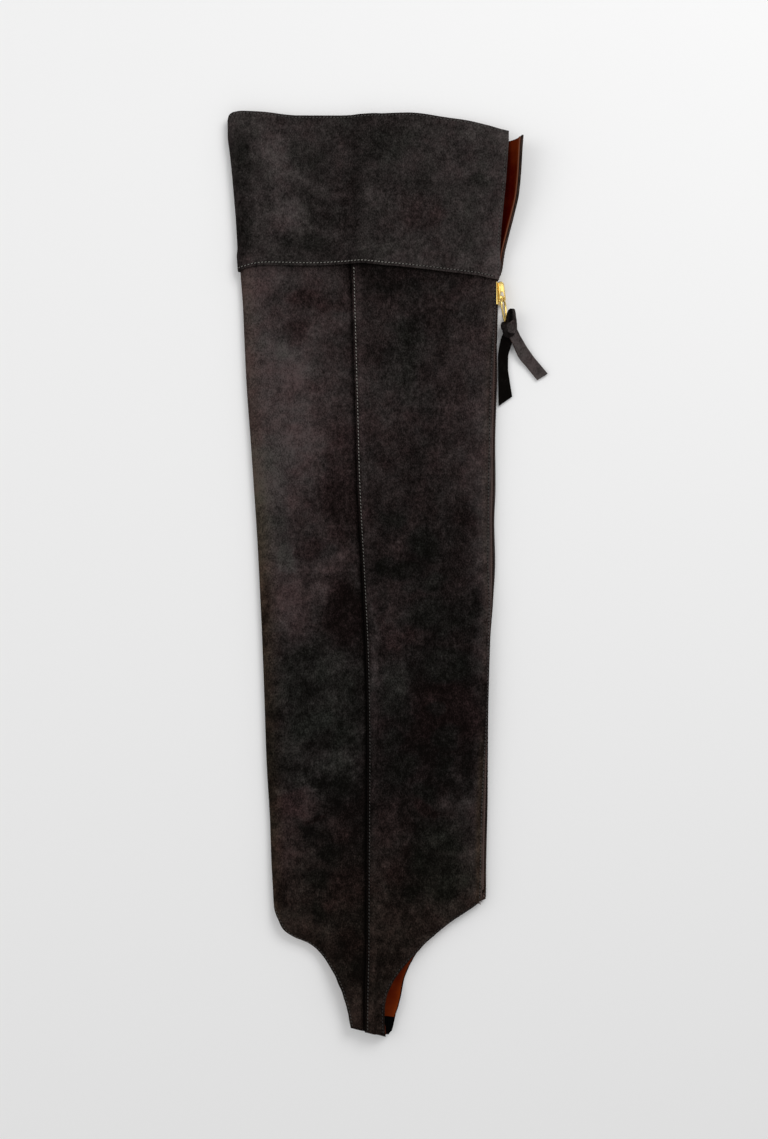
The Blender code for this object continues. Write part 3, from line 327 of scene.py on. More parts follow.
@dataclass(eq=False)
class Form:
    """The gaiter's lie: its sections, in mm, with `up` measured from the strap's end."""

    suede: float = 1.4
    lining: float = 1.0
    lap: float = 8.0
    cuff_lap: float = 10.0
    bend: float = 2.2
    zip_flat: float = 4.4
    slot: float = 1.8
    fold_fade: float = 30.0
    back_fade: float = 26.0
    fold_end: float = 94.0
    curves: dict[str, Fair] = field(default_factory=dict)

    def __post_init__(self) -> None:
        """Draw the fair curves through the tables."""
        names = "fold cut turn bend crest edge lift curl"
        self.curves |= fairs(names, LEG)
        self.curves |= fairs(" ".join("mouth_" + name for name in names.split()), MOUTH)
        self.curves |= fairs("hem_left hem_right hem_under_left hem_under_right", HEM)
        self.curves |= {name: Fair(*zip(*line)) for name, line in LINES.items()}

    @functools.lru_cache(maxsize=None)
    def section(self, up: float, above: float) -> Section:
        """Sizes of the section at one height.

        Args:
            up: Height in mm, rounded by the caller.
            above: Height above the cuff's lower edge.

        Returns:
            The named sizes of that section.
        """
        c = self.curves
        s: Section = {}
        reach = self.zip_flat / 2 - self.slot
        if up <= MOUTH_FOOT:
            s["fold"], s["cut"] = c["fold"](up), c["cut"](up)
            s["turn"] = s["lift"] = math.radians(c["turn"](up))
            s["bend"] = s["curl"] = self.bend
            s["crest"] = 2 * self.bend + self.zip_flat * math.cos(s["turn"])
            s["top_end"] = s["cut"] - self.bend * math.cos(s["turn"]) - reach * math.sin(s["turn"])
            s["low_end"] = s["top_end"] + self.zip_flat * math.sin(s["turn"])
        else:
            for name in ("fold", "cut", "bend", "crest", "edge", "curl"):
                s[name] = c["mouth_" + name](up)
            s["turn"] = math.radians(c["mouth_turn"](up))
            s["lift"] = math.radians(c["mouth_lift"](up))
            s["top_end"] = s["cut"] - s["bend"] * math.cos(s["turn"]) - reach * math.sin(s["turn"])
            s["low_end"] = s["edge"] - s["curl"] * math.cos(s["lift"]) + reach * math.sin(s["lift"])
        s["seam"], s["up"] = c["seam"](up), up
        table, key = ("cuff", above) if above > UNDER_CUFF[0] else ("low", up)
        s["mid"] = c[table + "_mid"](key)
        s["bead"] = c[table + "_fold"](key) / 2
        s["follow"] = smooth((up - 38) / 22)
        s["left"] = s["fold"] + s["bead"]
        s["lap1"], s["lap2"], s["lap3"] = self.laps(up, Ply.UPPER)
        s["low1"], s["low2"], s["low3"] = self.laps(up, Ply.UNDER)
        return s

    def at(self, up: float, above: float) -> Section:
        """Return the section at a height, rounded so that it is worked out once."""
        return self.section(round(up, 1), round(max(BELOW_CUFF, above), 1))

    def hem(self, ply: Ply, side: str) -> str:
        """Return the name of the curve of a hem's edge."""
        return ("hem_" if ply is Ply.UPPER else "hem_under_") + side

    def laps(self, up: float, ply: Ply) -> tuple[float, float, float]:
        """Return the widths from the seam to the lap's end, the next ramp's foot and its end."""
        if up >= HEM_TOP:
            return self.lap, 2 * self.lap, 3 * self.lap
        room = self.curves[self.hem(ply, "right")](up) - self.curves["seam"](up)
        return min(self.lap, 0.40 * room), min(2 * self.lap, 0.62 * room), min(3 * self.lap, 0.78 * room)

    def seam_rise(self, x: float, s: Section) -> float:
        """Return the share of a step that the hidden seam lifts at x."""
        d = x - s["seam"]
        one, two, three = s["lap1"], s["lap2"], s["lap3"]
        return smooth(d / one) * (1 - smooth((d - two) / (three - two)))

    def relief(self, x: float, up: float) -> float:
        """Return the height of the soft creases at a place on the upper ply."""
        total = 0.0
        for x0, up0, x1, up1, wide, high in CREASES:
            dx, dy = x1 - x0, up1 - up0
            long = math.hypot(dx, dy)
            along = ((x - x0) * dx + (up - up0) * dy) / long
            away = ((x - x0) * dy - (up - up0) * dx) / long
            if abs(away) > 3 * wide or along < -0.4 * long or along > 1.4 * long:
                continue
            ends = smooth((along + 0.3 * long) / (0.6 * long)) * smooth((1.3 * long - along) / (0.6 * long))
            total += high * ends * ridge(away, wide)
        return total

    def top(self, x: float, s: Section) -> float:
        """Return the height of the upper ply's outside at x."""
        near = max(0.0, 1 - max(0.0, x - s["left"]) / self.fold_fade) ** 2
        far = max(0.0, 1 - max(0.0, s["top_end"] - x) / self.back_fade) ** 2
        high = s["mid"] + (2 * s["bead"] - s["mid"]) * near + (s["crest"] - s["mid"]) * far
        return high + STEP * s["follow"] * self.seam_rise(x, s)

    def reach(self, ply: Ply, s: Section) -> tuple[float, float, float]:
        """Return where the fold, the flat and the bend end along a ply's section."""
        quarter = s["bead"] * math.pi / 2
        if ply is Ply.UPPER:
            flat = quarter + s["top_end"] - s["left"]
            return quarter, flat, flat + s["bend"] * (math.pi / 2 - s["turn"])
        flat = quarter + s["low_end"] - s["left"]
        return quarter, flat, flat + s["curl"] * (math.pi / 2 + s["lift"])

    def end(self, ply: Ply, up: float, above: float) -> float:
        """Return the length of a ply's section from the fold to its cut edge."""
        return self.reach(ply, self.at(up, above))[2] + self.zip_flat / 2 - self.slot

    def to_x(self, x: float, up: float, above: float) -> float:
        """Return the distance along a section to a place on its flat part."""
        s = self.at(up, above)
        return s["bead"] * math.pi / 2 + x - s["left"]

    def point(self, ply: Ply, q: float, up: float, above: float) -> tuple[float, float, float, float]:
        """Place on the outside of a ply.

        Args:
            ply: The layer.
            q: Distance along the section from the fold.
            up: Height of the section.
            above: Height above the cuff's lower edge.

        Returns:
            x, z and the outward normal in the section.
        """
        s = self.at(up, above)
        quarter, flat, turned = self.reach(ply, s)
        side = 1 if ply is Ply.UPPER else -1
        if q < quarter:
            angle = math.pi - side * q / s["bead"]
            c, d = math.cos(angle), math.sin(angle)
            return s["left"] + s["bead"] * c, s["bead"] * (1 + d), c, d
        if q < flat:
            x = s["left"] + q - quarter
            if ply is Ply.UNDER:
                return x, 0.0, 0.0, -1.0
            slope = self.top(x + 0.5, s) - self.top(x - 0.5, s)
            size = math.hypot(slope, 1)
            return x, self.top(x, s) + self.relief(x, up), -slope / size, 1 / size
        if ply is Ply.UPPER:
            angle = math.pi / 2 - min(q, turned) / s["bend"] + flat / s["bend"]
            c, d = math.cos(angle), math.sin(angle)
            x, z = s["top_end"] + s["bend"] * c, s["crest"] - s["bend"] * (1 - d)
            over = max(0.0, q - turned)
            return x + over * d, z - over * c + self.relief(x, up), c, d
        angle = -math.pi / 2 + (min(q, turned) - flat) / s["curl"]
        c, d = math.cos(angle), math.sin(angle)
        over = max(0.0, q - turned)
        return s["low_end"] + s["curl"] * c - over * d, s["curl"] * (1 + d) + over * c, c, d

    def zip_frame(self, up: float) -> tuple[Vector, Vector, Vector]:
        """Return the middle of the zip flat, the way across it and the way out, in mm."""
        s = self.at(up, BELOW_CUFF)
        turn = s["turn"]
        x = s["low_end"] + self.bend * math.cos(turn) - self.zip_flat / 2 * math.sin(turn)
        z = self.bend * (1 + math.sin(turn)) + self.zip_flat / 2 * math.cos(turn)
        return (Vector((x, up, z)), Vector((-math.sin(turn), 0, math.cos(turn))),
                Vector((math.cos(turn), 0, math.sin(turn))))

    def foot(self, x: float) -> float:
        """Return the height of the cuff's lower edge at x."""
        return self.curves["foot"](x)

    def head(self, ply: Ply) -> Fair:
        """Return the line of the cuff's top edge on a ply."""
        return self.curves["head" if ply is Ply.UPPER else "head_under"]

    def world(self, point: Row) -> Vector:
        """Turn x, up and z in mm into a place in metres."""
        return Vector((point[0] * MM, (point[1] - HALF) * MM, point[2] * MM))

    def slant(self, ply: Ply, x: float, level: float) -> float:
        """Return how far the slanted cut of a strap's end moves a row at x."""
        if ply is Ply.UPPER:
            return (-14.0 - x) * 0.25 * clamp((27.0 - level) / 23.8)
        return (5.4 - x) * 0.12 * clamp((26.0 - level) / 13.9)

    def side_start(self, ply: Ply, level: float) -> float:
        """Return where a ply's section starts at the hem's left edge, 0 while the fold is whole."""
        if level >= self.fold_end:
            return 0.0
        s = self.at(level, BELOW_CUFF)
        left = self.curves[self.hem(ply, "left")](level)
        quarter = s["bead"] * math.pi / 2
        if left < s["left"]:
            return quarter - s["bead"] * math.asin(min(1.0, (s["left"] - left) / s["bead"]))
        return quarter + left - s["left"]

    def side_end(self, ply: Ply, level: float, above: float = BELOW_CUFF) -> float:
        """Return where a ply's section ends, at the hem's right edge or beside the zip."""
        if level >= HEM_END:
            return self.end(ply, level, above)
        return self.to_x(self.curves[self.hem(ply, "right")](level), level, above)


def level_track(level: float) -> Track:
    """Return a row at one height."""
    return lambda x: level


def foot_track(form: Form, above: float) -> Track:
    """Return a row that follows the cuff's lower edge."""
    return lambda x: form.foot(x) + above


def cuff_track(form: Form, ply: Ply, above: float, share: float) -> Track:
    """Return a row between a height over the cuff's foot and its top edge."""
    head = form.head(ply)
    return lambda x: mix(form.foot(x) + above, head(x), share)


def head_track(form: Form, ply: Ply, below: float) -> Track:
    """Return a row that follows the cuff's top edge."""
    head = form.head(ply)
    return lambda x: head(x) - below


def cover(above: float, start: float, full: float, until: float, end: float) -> float:
    """Return 0 before start, 1 from full to until, 0 after end, with soft steps between."""
    if above < full:
        return smooth((above - start) / (full - start))
    return 1 - smooth((above - until) / (end - until))


def tucked(above: float) -> float:
    """Return how far the leg sinks where the cuff covers it."""
    return -STEP * cover(above, *UNDER_CUFF)


def front_upper(x: float, s: Section, above: float, share: float) -> float:
    """Return how far the front panel stands off the upper form, dipping beside the other's raw edge."""
    return tucked(above) * (1 - share) - 0.8 * ridge(x - s["seam"] + 0.5, 1.7)


def front_under(x: float, s: Section, above: float, share: float) -> float:
    """Return how far the front panel stands off the lower form."""
    return tucked(above) * share - STEP * smooth((x - s["seam"]) / s["low1"])


def back_upper(x: float, s: Section, above: float, share: float) -> float:
    """Return how far the outer back panel stands off, where it laps over the front one."""
    d = x - s["seam"]
    lift = 0.35 * math.exp(-max(0.0, d) / 1.6) - 0.3 * ridge(d - 1.8, 0.8)
    return STEP * (1 - smooth((d - s["lap1"]) / (s["lap2"] - s["lap1"]))) + lift


def cuff_upper(x: float, s: Section, above: float, share: float) -> float:
    """Return how far the cuff stands off above the leg that it laps over."""
    d = x - s["seam"]
    bump = smooth((d + 4) / 4) * (1 - smooth((d - s["lap1"]) / s["lap1"]))
    return STEP * (1 - smooth((above - CUFF_DROP[0]) / CUFF_DROP[1])) * share * (1 + bump)


def cuff_under(x: float, s: Section, above: float, share: float) -> float:
    """Return the same on the lower ply, where the leg gives way instead."""
    return STEP * (1 - smooth((above - CUFF_DROP[0]) / CUFF_DROP[1])) * (1 - share)


def strap_under(x: float, s: Section, above: float, share: float) -> float:
    """Return how far the inner strap's lining lies inside, deeper where the elastic runs over it."""
    d = x - s["seam"]
    plain = -STEP - STEP * smooth(d / s["low1"]) * (1 - smooth((d - s["low2"]) / (s["low3"] - s["low2"])))
    return mix(plain, -4.7, smooth((39.0 - s["up"]) / 11.0))


# how far each part stands off the form, from x, the section, the height above the cuff's foot, and a share
# that runs from half to one round the fold
OFFSETS: dict[tuple[str, Ply], Callable[[float, Section, float, float], float]] = {
    ("front", Ply.UPPER): front_upper,
    ("front", Ply.UNDER): front_under,
    ("back", Ply.UPPER): back_upper,
    ("back", Ply.UNDER): lambda x, s, above, share: tucked(above),
    ("cuff", Ply.UPPER): cuff_upper,
    ("cuff", Ply.UNDER): cuff_under,
    ("lining", Ply.UPPER): lambda *spot: cuff_upper(*spot) - INSIDE,
    ("lining", Ply.UNDER): lambda *spot: cuff_under(*spot) - INSIDE,
    ("strap", Ply.UPPER): lambda *spot: -STEP,
    ("strap", Ply.UNDER): strap_under,
}


@dataclass(frozen=True)
class Skin:
    """The face of one ply of one piece."""

    form: Form
    part: str
    ply: Ply

    def spot(self, q: float, track: Track, lift: float = 0.0) -> tuple[Vector, Vector]:
        """Find a place on the face.

        Args:
            q: Distance along the section from the fold, in mm.
            track: The row's height at each x.
            lift: Distance off the face, in mm.

        Returns:
            The place in metres and the outward normal of the section.
        """
        form, x = self.form, -20.0
        for _ in range(3):
            level = track(x)
            above = level - form.foot(x)
            x, z, nx, nz = form.point(self.ply, q, level, above)
        s = form.at(level, above)
        quarter = s["bead"] * math.pi / 2
        if level < HEM_END and self.ply is Ply.UNDER and q > quarter:
            x, z, nx, nz = s["left"] + q - quarter, 0.0, 0.0, -1.0
        if level < HEM_END and self.ply is Ply.UPPER and x > s["top_end"]:
            x = s["left"] + q - quarter
            z, nx, nz = form.top(x, s) + form.relief(x, level), 0.0, 1.0
        share = 0.5 + 0.5 * min(1.0, q / quarter)
        out = OFFSETS[self.part, self.ply](x, s, above, share) + lift
        place = form.world((x + nx * out, level + form.slant(self.ply, x, level), z + nz * out))
        return place, Vector((nx, 0, nz))

    def row(self, columns: Row, track: Track) -> list[Vector]:
        """Return the places of one row in metres."""
        return [self.spot(q, track)[0] for q in columns]


def stations(start: float, end: float, number: int, fine: Row = (), low: bool = True,
             high: bool = True) -> list[float]:
    """Spread columns between two ends, with fixed small steps beside the edges.

    Args:
        start: First place.
        end: Last place.
        number: Columns between the fine ones.
        fine: Distances from an edge.
        low: Fine steps at the start.
        high: Fine steps at the end.

    Returns:
        The places in order.
    """
    room = end - start
    reach = min(1.0, 0.3 * room / (fine[-1] if fine else 1.0))
    first = [start + f * reach for f in fine] if low else [start]
    last = [end - f * reach for f in reversed(fine)] if high else [end]
    a, b = first[-1], last[0]
    return first + [mix(a, b, k / number) for k in range(1, number)] + last


EDGE_STEPS = (0.0, 0.5, 1.2, 2.2, 3.2, 4.6)
BACK_STEPS = (0.0, 0.3, 0.7, 1.1, 1.6, 2.2, 3.2, 4.6)


class Wander:
    """A small smooth unevenness of a cut edge, from a few sines of its own phases."""

    def __init__(self, seed: int, size: float) -> None:
        """Choose the phases.

        Args:
            seed: Number for the random choice.
            size: Height of the unevenness in mm.
        """
        rng = random.Random(seed)
        self.waves = [(rng.uniform(8, 60), rng.uniform(0, 6.28), rng.uniform(0.4, 1.0)) for _ in range(6)]
        self.size = size

    def __call__(self, at: float) -> float:
        """Return the offset at one place along the edge."""
        return self.size * sum(h * math.sin(at / w * 6.28 + p) for w, p, h in self.waves) / 2.5


@dataclass(frozen=True)
class NapAndPaintedLight:
    """The look of the suede's pile with painted shade and highlights, from listed rows and patches."""

    form: Form

    @functools.lru_cache(maxsize=None)
    def curves(self, on_cuff: bool) -> list[Fair]:
        """Return the columns of a table as curves of the height."""
        names = "fold front before behind back far edge"
        return list(fairs(names, CUFF_NAP if on_cuff else LEG_NAP).values())

    @functools.lru_cache(maxsize=None)
    def across(self, on_cuff: bool, up: float) -> Fair:
        """Return the brightness across one height."""
        s = self.form.at(min(up, NAP_TOP), BELOW_CUFF)
        xs = (s["fold"] + 7, s["fold"] + 36, s["seam"] - 13, s["seam"] + 14, s["seam"] + 46, s["cut"] - 20,
              s["cut"] - 2)
        return Fair(xs, [curve(up) for curve in self.curves(on_cuff)])

    def warmth(self, x: float, up: float) -> float:
        """Return how yellow the pile is: at the foot, and where the fold and the zip edge are rubbed."""
        s = self.form.at(min(up, NAP_TOP), BELOW_CUFF)
        fold = ridge(x - s["fold"], 9.0) * (0.35 + 0.65 * smooth((460 - up) / 120))
        edge = ridge(x - s["cut"] + 3.0, 3.0) * (0.2 + 0.6 * smooth((230 - up) / 40))
        return min(1.0, max(0.55 * smooth((190 - up) / 130), 0.9 * fold, edge))

    def pucker(self, x: float, up: float, on_cuff: bool) -> tuple[float, float]:
        """Return how much the upright and the level stitch rows gather the skin at a place."""
        s = self.form.at(up, BELOW_CUFF)
        if on_cuff:
            rows = self.form.foot(x) + 2.0, self.form.curves["head"](x) - 1.5
            return 0.0, sum(ridge(up - at, 1.8) for at in rows)
        upright = ridge(x - s["cut"] + 3.4, 2.0) if up > HEM_TOP else 0.0
        return upright + 0.8 * ridge(x - s["seam"] - 2.4, 1.8), 0.0

    def tone(self, x: float, up: float, on_cuff: bool) -> tuple[float, float]:
        """Return the brightness, with painted shade and highlights in it, and the hue at a place, the hue
        about zero.
        """
        place = Vector((x / 17, up / 17, 3.0 if on_cuff else 0.0))
        drift = noise.noise_vector(place) * 6.0 + noise.noise_vector(place * 2.7) * 2.6
        wx, wup = x + drift.x, up + drift.y
        tone, hue = self.across(on_cuff, round(up))(x), -0.04 if on_cuff else 0.28
        for at, height, wide, tall, lean, bright, colour in PATCHES:
            dx, dy = wx - at, wup - height
            if abs(dx) + abs(dy) > 1.5 * (wide + tall):
                continue
            c, d = math.cos(lean), math.sin(lean)
            far = math.hypot((dx * c + dy * d) / wide, (-dx * d + dy * c) / tall)
            if far < 1.4:
                weight = smooth((1.4 - far) / 0.8)
                tone += bright * weight * (1.45 if on_cuff else 1.0 + 0.45 * smooth((420 - height) / 100))
                hue += colour * weight
        if not on_cuff:
            rough = noise.noise(Vector((x / 9, up / 9, 7))) + 0.6 * noise.noise(Vector((x / 4, up / 4, 2)))
            tone += 0.15 * smooth((400 - up) / 130) * rough
            if tone < 0.28:
                tone = 0.16 + 0.12 * math.exp((tone - 0.28) / 0.12)
            # painted shadow: a dark line on the front panel beside the back panel's raw edge at the side
            # seam, deeper low down, where the lap's step casts shade
            gone = x - self.form.curves["seam"](up)
            uneven = 1.0 + 0.35 * noise.noise(Vector((up / 9, 5, 1)))
            deep = (0.12 + 0.93 * smooth((390 - up) / 120)) * uneven
            tone -= deep * ridge(gone + 0.15, 0.9) + 0.14 * ridge(gone + 1.5, 1.6)
            tone += 0.10 * ridge(gone - 4.6, 2.0)
            # painted shadow below the cuff's lower edge, fading over about 2 mm down the leg
            tone -= 0.22 * math.exp(-max(0.0, self.form.foot(x) - up) / 2.2)
            # lighter strip along the zip's cut edge, partly wear and partly a painted highlight where the
            # edge bends down to the zip, stronger low down; a darker line 2.2 mm inside it
            light_and_rub = x - self.form.curves["cut"](min(max(up, HEM_TOP), MOUTH_FOOT))
            if up > HEM_TOP:
                wear_and_highlight = 0.4 + 0.6 * smooth((230 - up) / 40)
                tone += wear_and_highlight * (0.14 * ridge(light_and_rub + 0.6, 1.3) + 0.05 * ridge(light_and_rub + 4, 3.0))
                tone -= 0.17 * ridge(light_and_rub + 2.2, 0.7)
        return max(0.02, tone), hue


@dataclass
class Cloth:
    """A thin shell built from grids of places on its outside."""

    name: str
    thick: float
    face: Material
    edge: Material
    nap_and_painted_light: NapAndPaintedLight
    tint: Optional[Tint] = None

    def build(self, grids: Sequence[Grid], outward: Vector) -> Object:
        """Make the shell.

        Args:
            grids: Rows of places in metres; grids that share places are joined.
            outward: The way that the first grid's middle faces.

        Returns:
            The finished object.
        """
        mesh = bmesh.new()
        for grid in grids:
            made = [[mesh.verts.new(p) for p in row] for row in grid]
            for low, high in zip(made, made[1:]):
                for ring in zip(low, low[1:], high[1:], high):
                    mesh.faces.new(ring)
        centre = grids[0][len(grids[0]) // 2][len(grids[0][0]) // 3]
        bmesh.ops.remove_doubles(mesh, verts=mesh.verts, dist=1e-5)
        bmesh.ops.dissolve_degenerate(mesh, edges=mesh.edges, dist=1e-6)
        bmesh.ops.recalc_face_normals(mesh, faces=mesh.faces)
        near = min(mesh.faces, key=lambda f: (f.calc_center_median() - centre).length_squared)
        if near.normal.dot(outward) < 0:
            bmesh.ops.reverse_faces(mesh, faces=mesh.faces)
        data = bpy.data.meshes.new(self.name)
        mesh.to_mesh(data)
        mesh.free()
        thing = place_mesh(data)
        data.materials.append(self.face)
        data.materials.append(self.edge)
        modify(thing, "SOLIDIFY", thickness=self.thick * MM, offset=-1, use_quality_normals=True,
               material_offset_rim=1)
        self.paint(thing)
        bpy.ops.object.shade_smooth_by_angle(angle=math.radians(50))
        return thing

    def paint(self, thing: Object) -> None:
        """Write the pile's brightness with its painted shade and highlights, the hue and the gathers to the
        shell's corners.
        """
        thing.data.attributes.new("level_rows", "FLOAT", "POINT")
        colour = thing.data.attributes.new("nap_and_painted_light", "FLOAT_COLOR", "POINT")
        rows = thing.data.attributes["level_rows"]
        on_cuff = self.name.startswith("cuff")
        for vertex, value in zip(thing.data.vertices, colour.data):
            x, up = vertex.co.x / MM, vertex.co.y / MM + HALF
            if self.tint:
                (tone, hue), upright, level, warm = self.tint(x, up), 0.0, 0.0, 0.0
            else:
                tone, hue = self.nap_and_painted_light.tone(x, up, on_cuff)
                upright, level = self.nap_and_painted_light.pucker(x, up, on_cuff)
                warm = 0.0 if on_cuff else self.nap_and_painted_light.warmth(x, up)
            value.color = (tone, 0.5 + 0.5 * hue, upright, 1.0 - warm)
            rows.data[vertex.index].value = level


def place_mesh(data: bpy.types.Mesh) -> Object:
    """Put a mesh into the scene as an object of the same name, and make it active."""
    thing = bpy.data.objects.new(data.name, data)
    bpy.context.scene.collection.objects.link(thing)
    pick(thing)
    return thing


def modify(thing: Object, kind: str, **settings: Value) -> None:
    """Run one modifier on an object and apply it.

    Args:
        thing: The object.
        kind: The modifier's type.
        settings: Its settings by name.
    """
    pick(thing)
    made = thing.modifiers.new(kind.lower(), kind)
    for key, value in settings.items():
        setattr(made, key, value)
    bpy.ops.object.modifier_apply(modifier=made.name)


@contextmanager
def editing() -> Iterator[None]:
    """Keep the active object in edit mode for a few steps."""
    bpy.ops.object.mode_set(mode="EDIT")
    yield
    bpy.ops.object.mode_set(mode="OBJECT")


def move(x: float, y: float, z: float) -> None:
    """Move what is selected, in mm."""
    bpy.ops.transform.translate(value=(x * MM, y * MM, z * MM))


def turn(angle: float, axis: str) -> None:
    """Turn what is selected about the world's middle, in degrees."""
    bpy.ops.transform.rotate(value=math.radians(angle), orient_axis=axis, center_override=(0, 0, 0))


def soften(offset: float, segments: int, held: bool = False) -> None:
    """Round the selected edges, with an offset in mm, held short of the next edges if asked."""
    bpy.ops.mesh.bevel(offset=offset * MM, segments=segments, affect="EDGES", clamp_overlap=held)


def shape(kind: str, name: str, stretch: Row, **how: Value) -> Object:
    """Add one primitive and stretch it.

    Args:
        kind: The primitive's name.
        name: The piece.
        stretch: Along x, y and z, in mm.
        how: The primitive's own settings.

    Returns:
        The object, selected alone.
    """
    for other in bpy.context.selected_objects:
        other.select_set(False)
    getattr(bpy.ops.mesh, f"primitive_{kind}_add")(**how)
    thing = bpy.context.object
    thing.name = thing.data.name = name
    with editing():
        bpy.ops.transform.resize(value=tuple(v * MM for v in stretch))
    return thing


def pick(thing: Object) -> None:
    """Select one object only and make it active."""
    for other in bpy.context.selected_objects:
        other.select_set(False)
    thing.select_set(True)
    bpy.context.view_layer.objects.active = thing


class Recipe:
    """A material's node tree, built one node at a time."""

    def __init__(self, name: str) -> None:
        """Start an empty material.

        Args:
            name: The finish it stands for.
        """
        self.material = bpy.data.materials.new(name)
        self.material.use_nodes = True
        self.tree = self.material.node_tree
        self.tree.nodes.clear()

    def node(self, kind: str, output: int | str = 0, settings: Optional[dict[str, Value]] = None,
             **inputs: Value) -> Socket:
        """Add one node.

        Args:
            kind: The node's type without its prefix.
            output: The output to hand back.
            settings: Properties of the node itself.
            inputs: Values or sockets by input name, with _ for a space, or iN for the Nth input.

        Returns:
            The chosen output socket.
        """
        made = self.tree.nodes.new("ShaderNode" + kind)
        for key, value in (settings or {}).items():
            setattr(made, key, value)
        for key, value in inputs.items():
            numbered = key[0] == "i" and key[1:].isdigit()
            socket = made.inputs[int(key[1:]) if numbered else key.replace("_", " ")]
            if isinstance(value, Socket):
                self.tree.links.new(value, socket)
            else:
                socket.default_value = value
        return made.outputs[output] if len(made.outputs) else None

    def done(self, **inputs: Value) -> Material:
        """Close the material with one principled surface."""
        surface = self.node("BsdfPrincipled", **inputs)
        self.node("OutputMaterial", Surface=surface)
        return self.material

    def own(self, name: str, output: str) -> Socket:
        """Return one of the mesh's own values."""
        return self.node("Attribute", output, settings={"attribute_name": name})

    def waves(self, way: str, scale: float, **inputs: Value) -> Socket:
        """Return fine stripes in the object's own space."""
        place = self.node("TexCoord", "Object")
        return self.node("TexWave", 1, settings={"bands_direction": way}, Vector=place, Scale=scale, **inputs)

    def maths(self, how: str, a: Value, b: Value = 0.0) -> Socket:
        """Return a sum, product or other combination of two values."""
        return self.node("Math", settings={"operation": how}, i0=a, i1=b)

    def about(self, value: Value, size: float) -> Socket:
        """Return a value counted from its middle, times a size."""
        return self.maths("MULTIPLY", self.maths("SUBTRACT", value, 0.5), size)

    def bumps(self, height: Value, strength: float, distance: float) -> Socket:
        """Return a normal that a height raises, with its distance in mm."""
        return self.node("Bump", Height=height, Strength=strength, Distance=distance * MM)

    def grain(self, size: float, detail: float = 2.0, stretch: tuple[float, float, float] = (1, 1, 1),
              rough: float = 0.5) -> Socket:
        """Return a noise whose features are about `size` mm, in the object's own space."""
        place = self.node("TexCoord", "Object")
        place = self.node("Mapping", Vector=place, Scale=stretch)
        return self.node("TexNoise", Vector=place, Scale=1000 / size, Detail=detail, Roughness=rough)

    def blend(self, share: Value, a: Value, b: Value, how: str = "MIX") -> Socket:
        """Return a mix of two colours."""
        settings = {"data_type": "RGBA", "blend_type": how}
        return self.node("Mix", 2, settings=settings, i0=share, i6=a, i7=b)


@dataclass(frozen=True)
class Looks:
    """The finished materials by piece."""

    suede: Material
    raw: Material
    lining: Material
    lining_edge: Material
    tape: Material
    coil: Material
    gold: Material
    elastic: Material
    thread: Material
    hole: Material


def brushed_suede(name: str, dark: str, light: str, shift: float) -> Material:
    """Short brushed pile: dull, mottled by how it lies and by painted shade and highlights, with a faint haze
    at grazing angles.

    Args:
        name: The finish.
        dark: Colour of the pile laid away from the light, and of painted shade.
        light: Colour of the pile laid towards it, and of painted highlights.
        shift: Added to the brightness that the pile's lie and the painted light give.

    Returns:
        The material.
    """
    r = Recipe(name)
    parts = r.node("SeparateColor", "Red", Color=r.own("nap_and_painted_light", "Color"))
    hue, upright = parts.node.outputs["Green"], parts.node.outputs["Blue"]
    level_rows = r.own("level_rows", "Fac")
    broad, patch = r.grain(38, 3, rough=0.55), r.grain(11, 3, rough=0.6)
    clump, pile = r.grain(3.2, 3, (1, 0.7, 1), 0.65), r.grain(1.1, 2, (1.3, 0.8, 1), 0.7)
    total = r.maths("ADD", r.maths("POWER", parts, 0.912), shift)
    for grain, size in ((broad, 0.36), (patch, 0.56), (clump, 0.66), (pile, 1.12)):
        total = r.maths("ADD", total, r.about(grain, size))
    total = r.node("Clamp", Value=total, Min=0.0, Max=1.2)
    base = r.blend(r.maths("POWER", total, 2.2), linear(dark), linear(light))
    tint = r.maths("ADD", r.about(hue, 2.0), r.about(r.grain(16, 3, rough=0.6), 1.8))
    warmth = r.maths("SUBTRACT", 1.0, r.own("nap_and_painted_light", "Alpha"))
    shares = (r.node("Clamp", Value=tint), r.node("Clamp", Value=r.maths("MULTIPLY", tint, -1.0)), warmth)
    for part, colour in zip(shares, ((1.18, 0.86, 0.88, 1), (0.87, 1.09, 0.98, 1), (1.10, 1.0, 0.70, 1))):
        base = r.blend(part, base, colour, "MULTIPLY")
    place = r.node("TexCoord", "Object")
    gathers = []
    for axis, weight in (("Y", upright), ("X", level_rows)):
        way = r.node("SeparateXYZ", axis, Vector=place)
        wave = r.maths("SINE", r.maths("MULTIPLY", way, 2 * math.pi / (STITCH_PITCH * MM)))
        gathers.append(r.maths("MULTIPLY", wave, weight))
    height = r.maths("ADD", r.maths("MULTIPLY", clump, 0.5), r.maths("MULTIPLY", pile, 0.8))
    height = r.maths("ADD", height, r.maths("MULTIPLY", r.maths("ADD", gathers[0], gathers[1]), 0.22))
    bump = r.bumps(height, 0.6, 0.6)
    return r.done(Base_Color=base, Roughness=0.95, Normal=bump, Sheen_Weight=0.04, Sheen_Roughness=0.5,
                  Sheen_Tint=linear("8A8280"), Specular_IOR_Level=0.03)


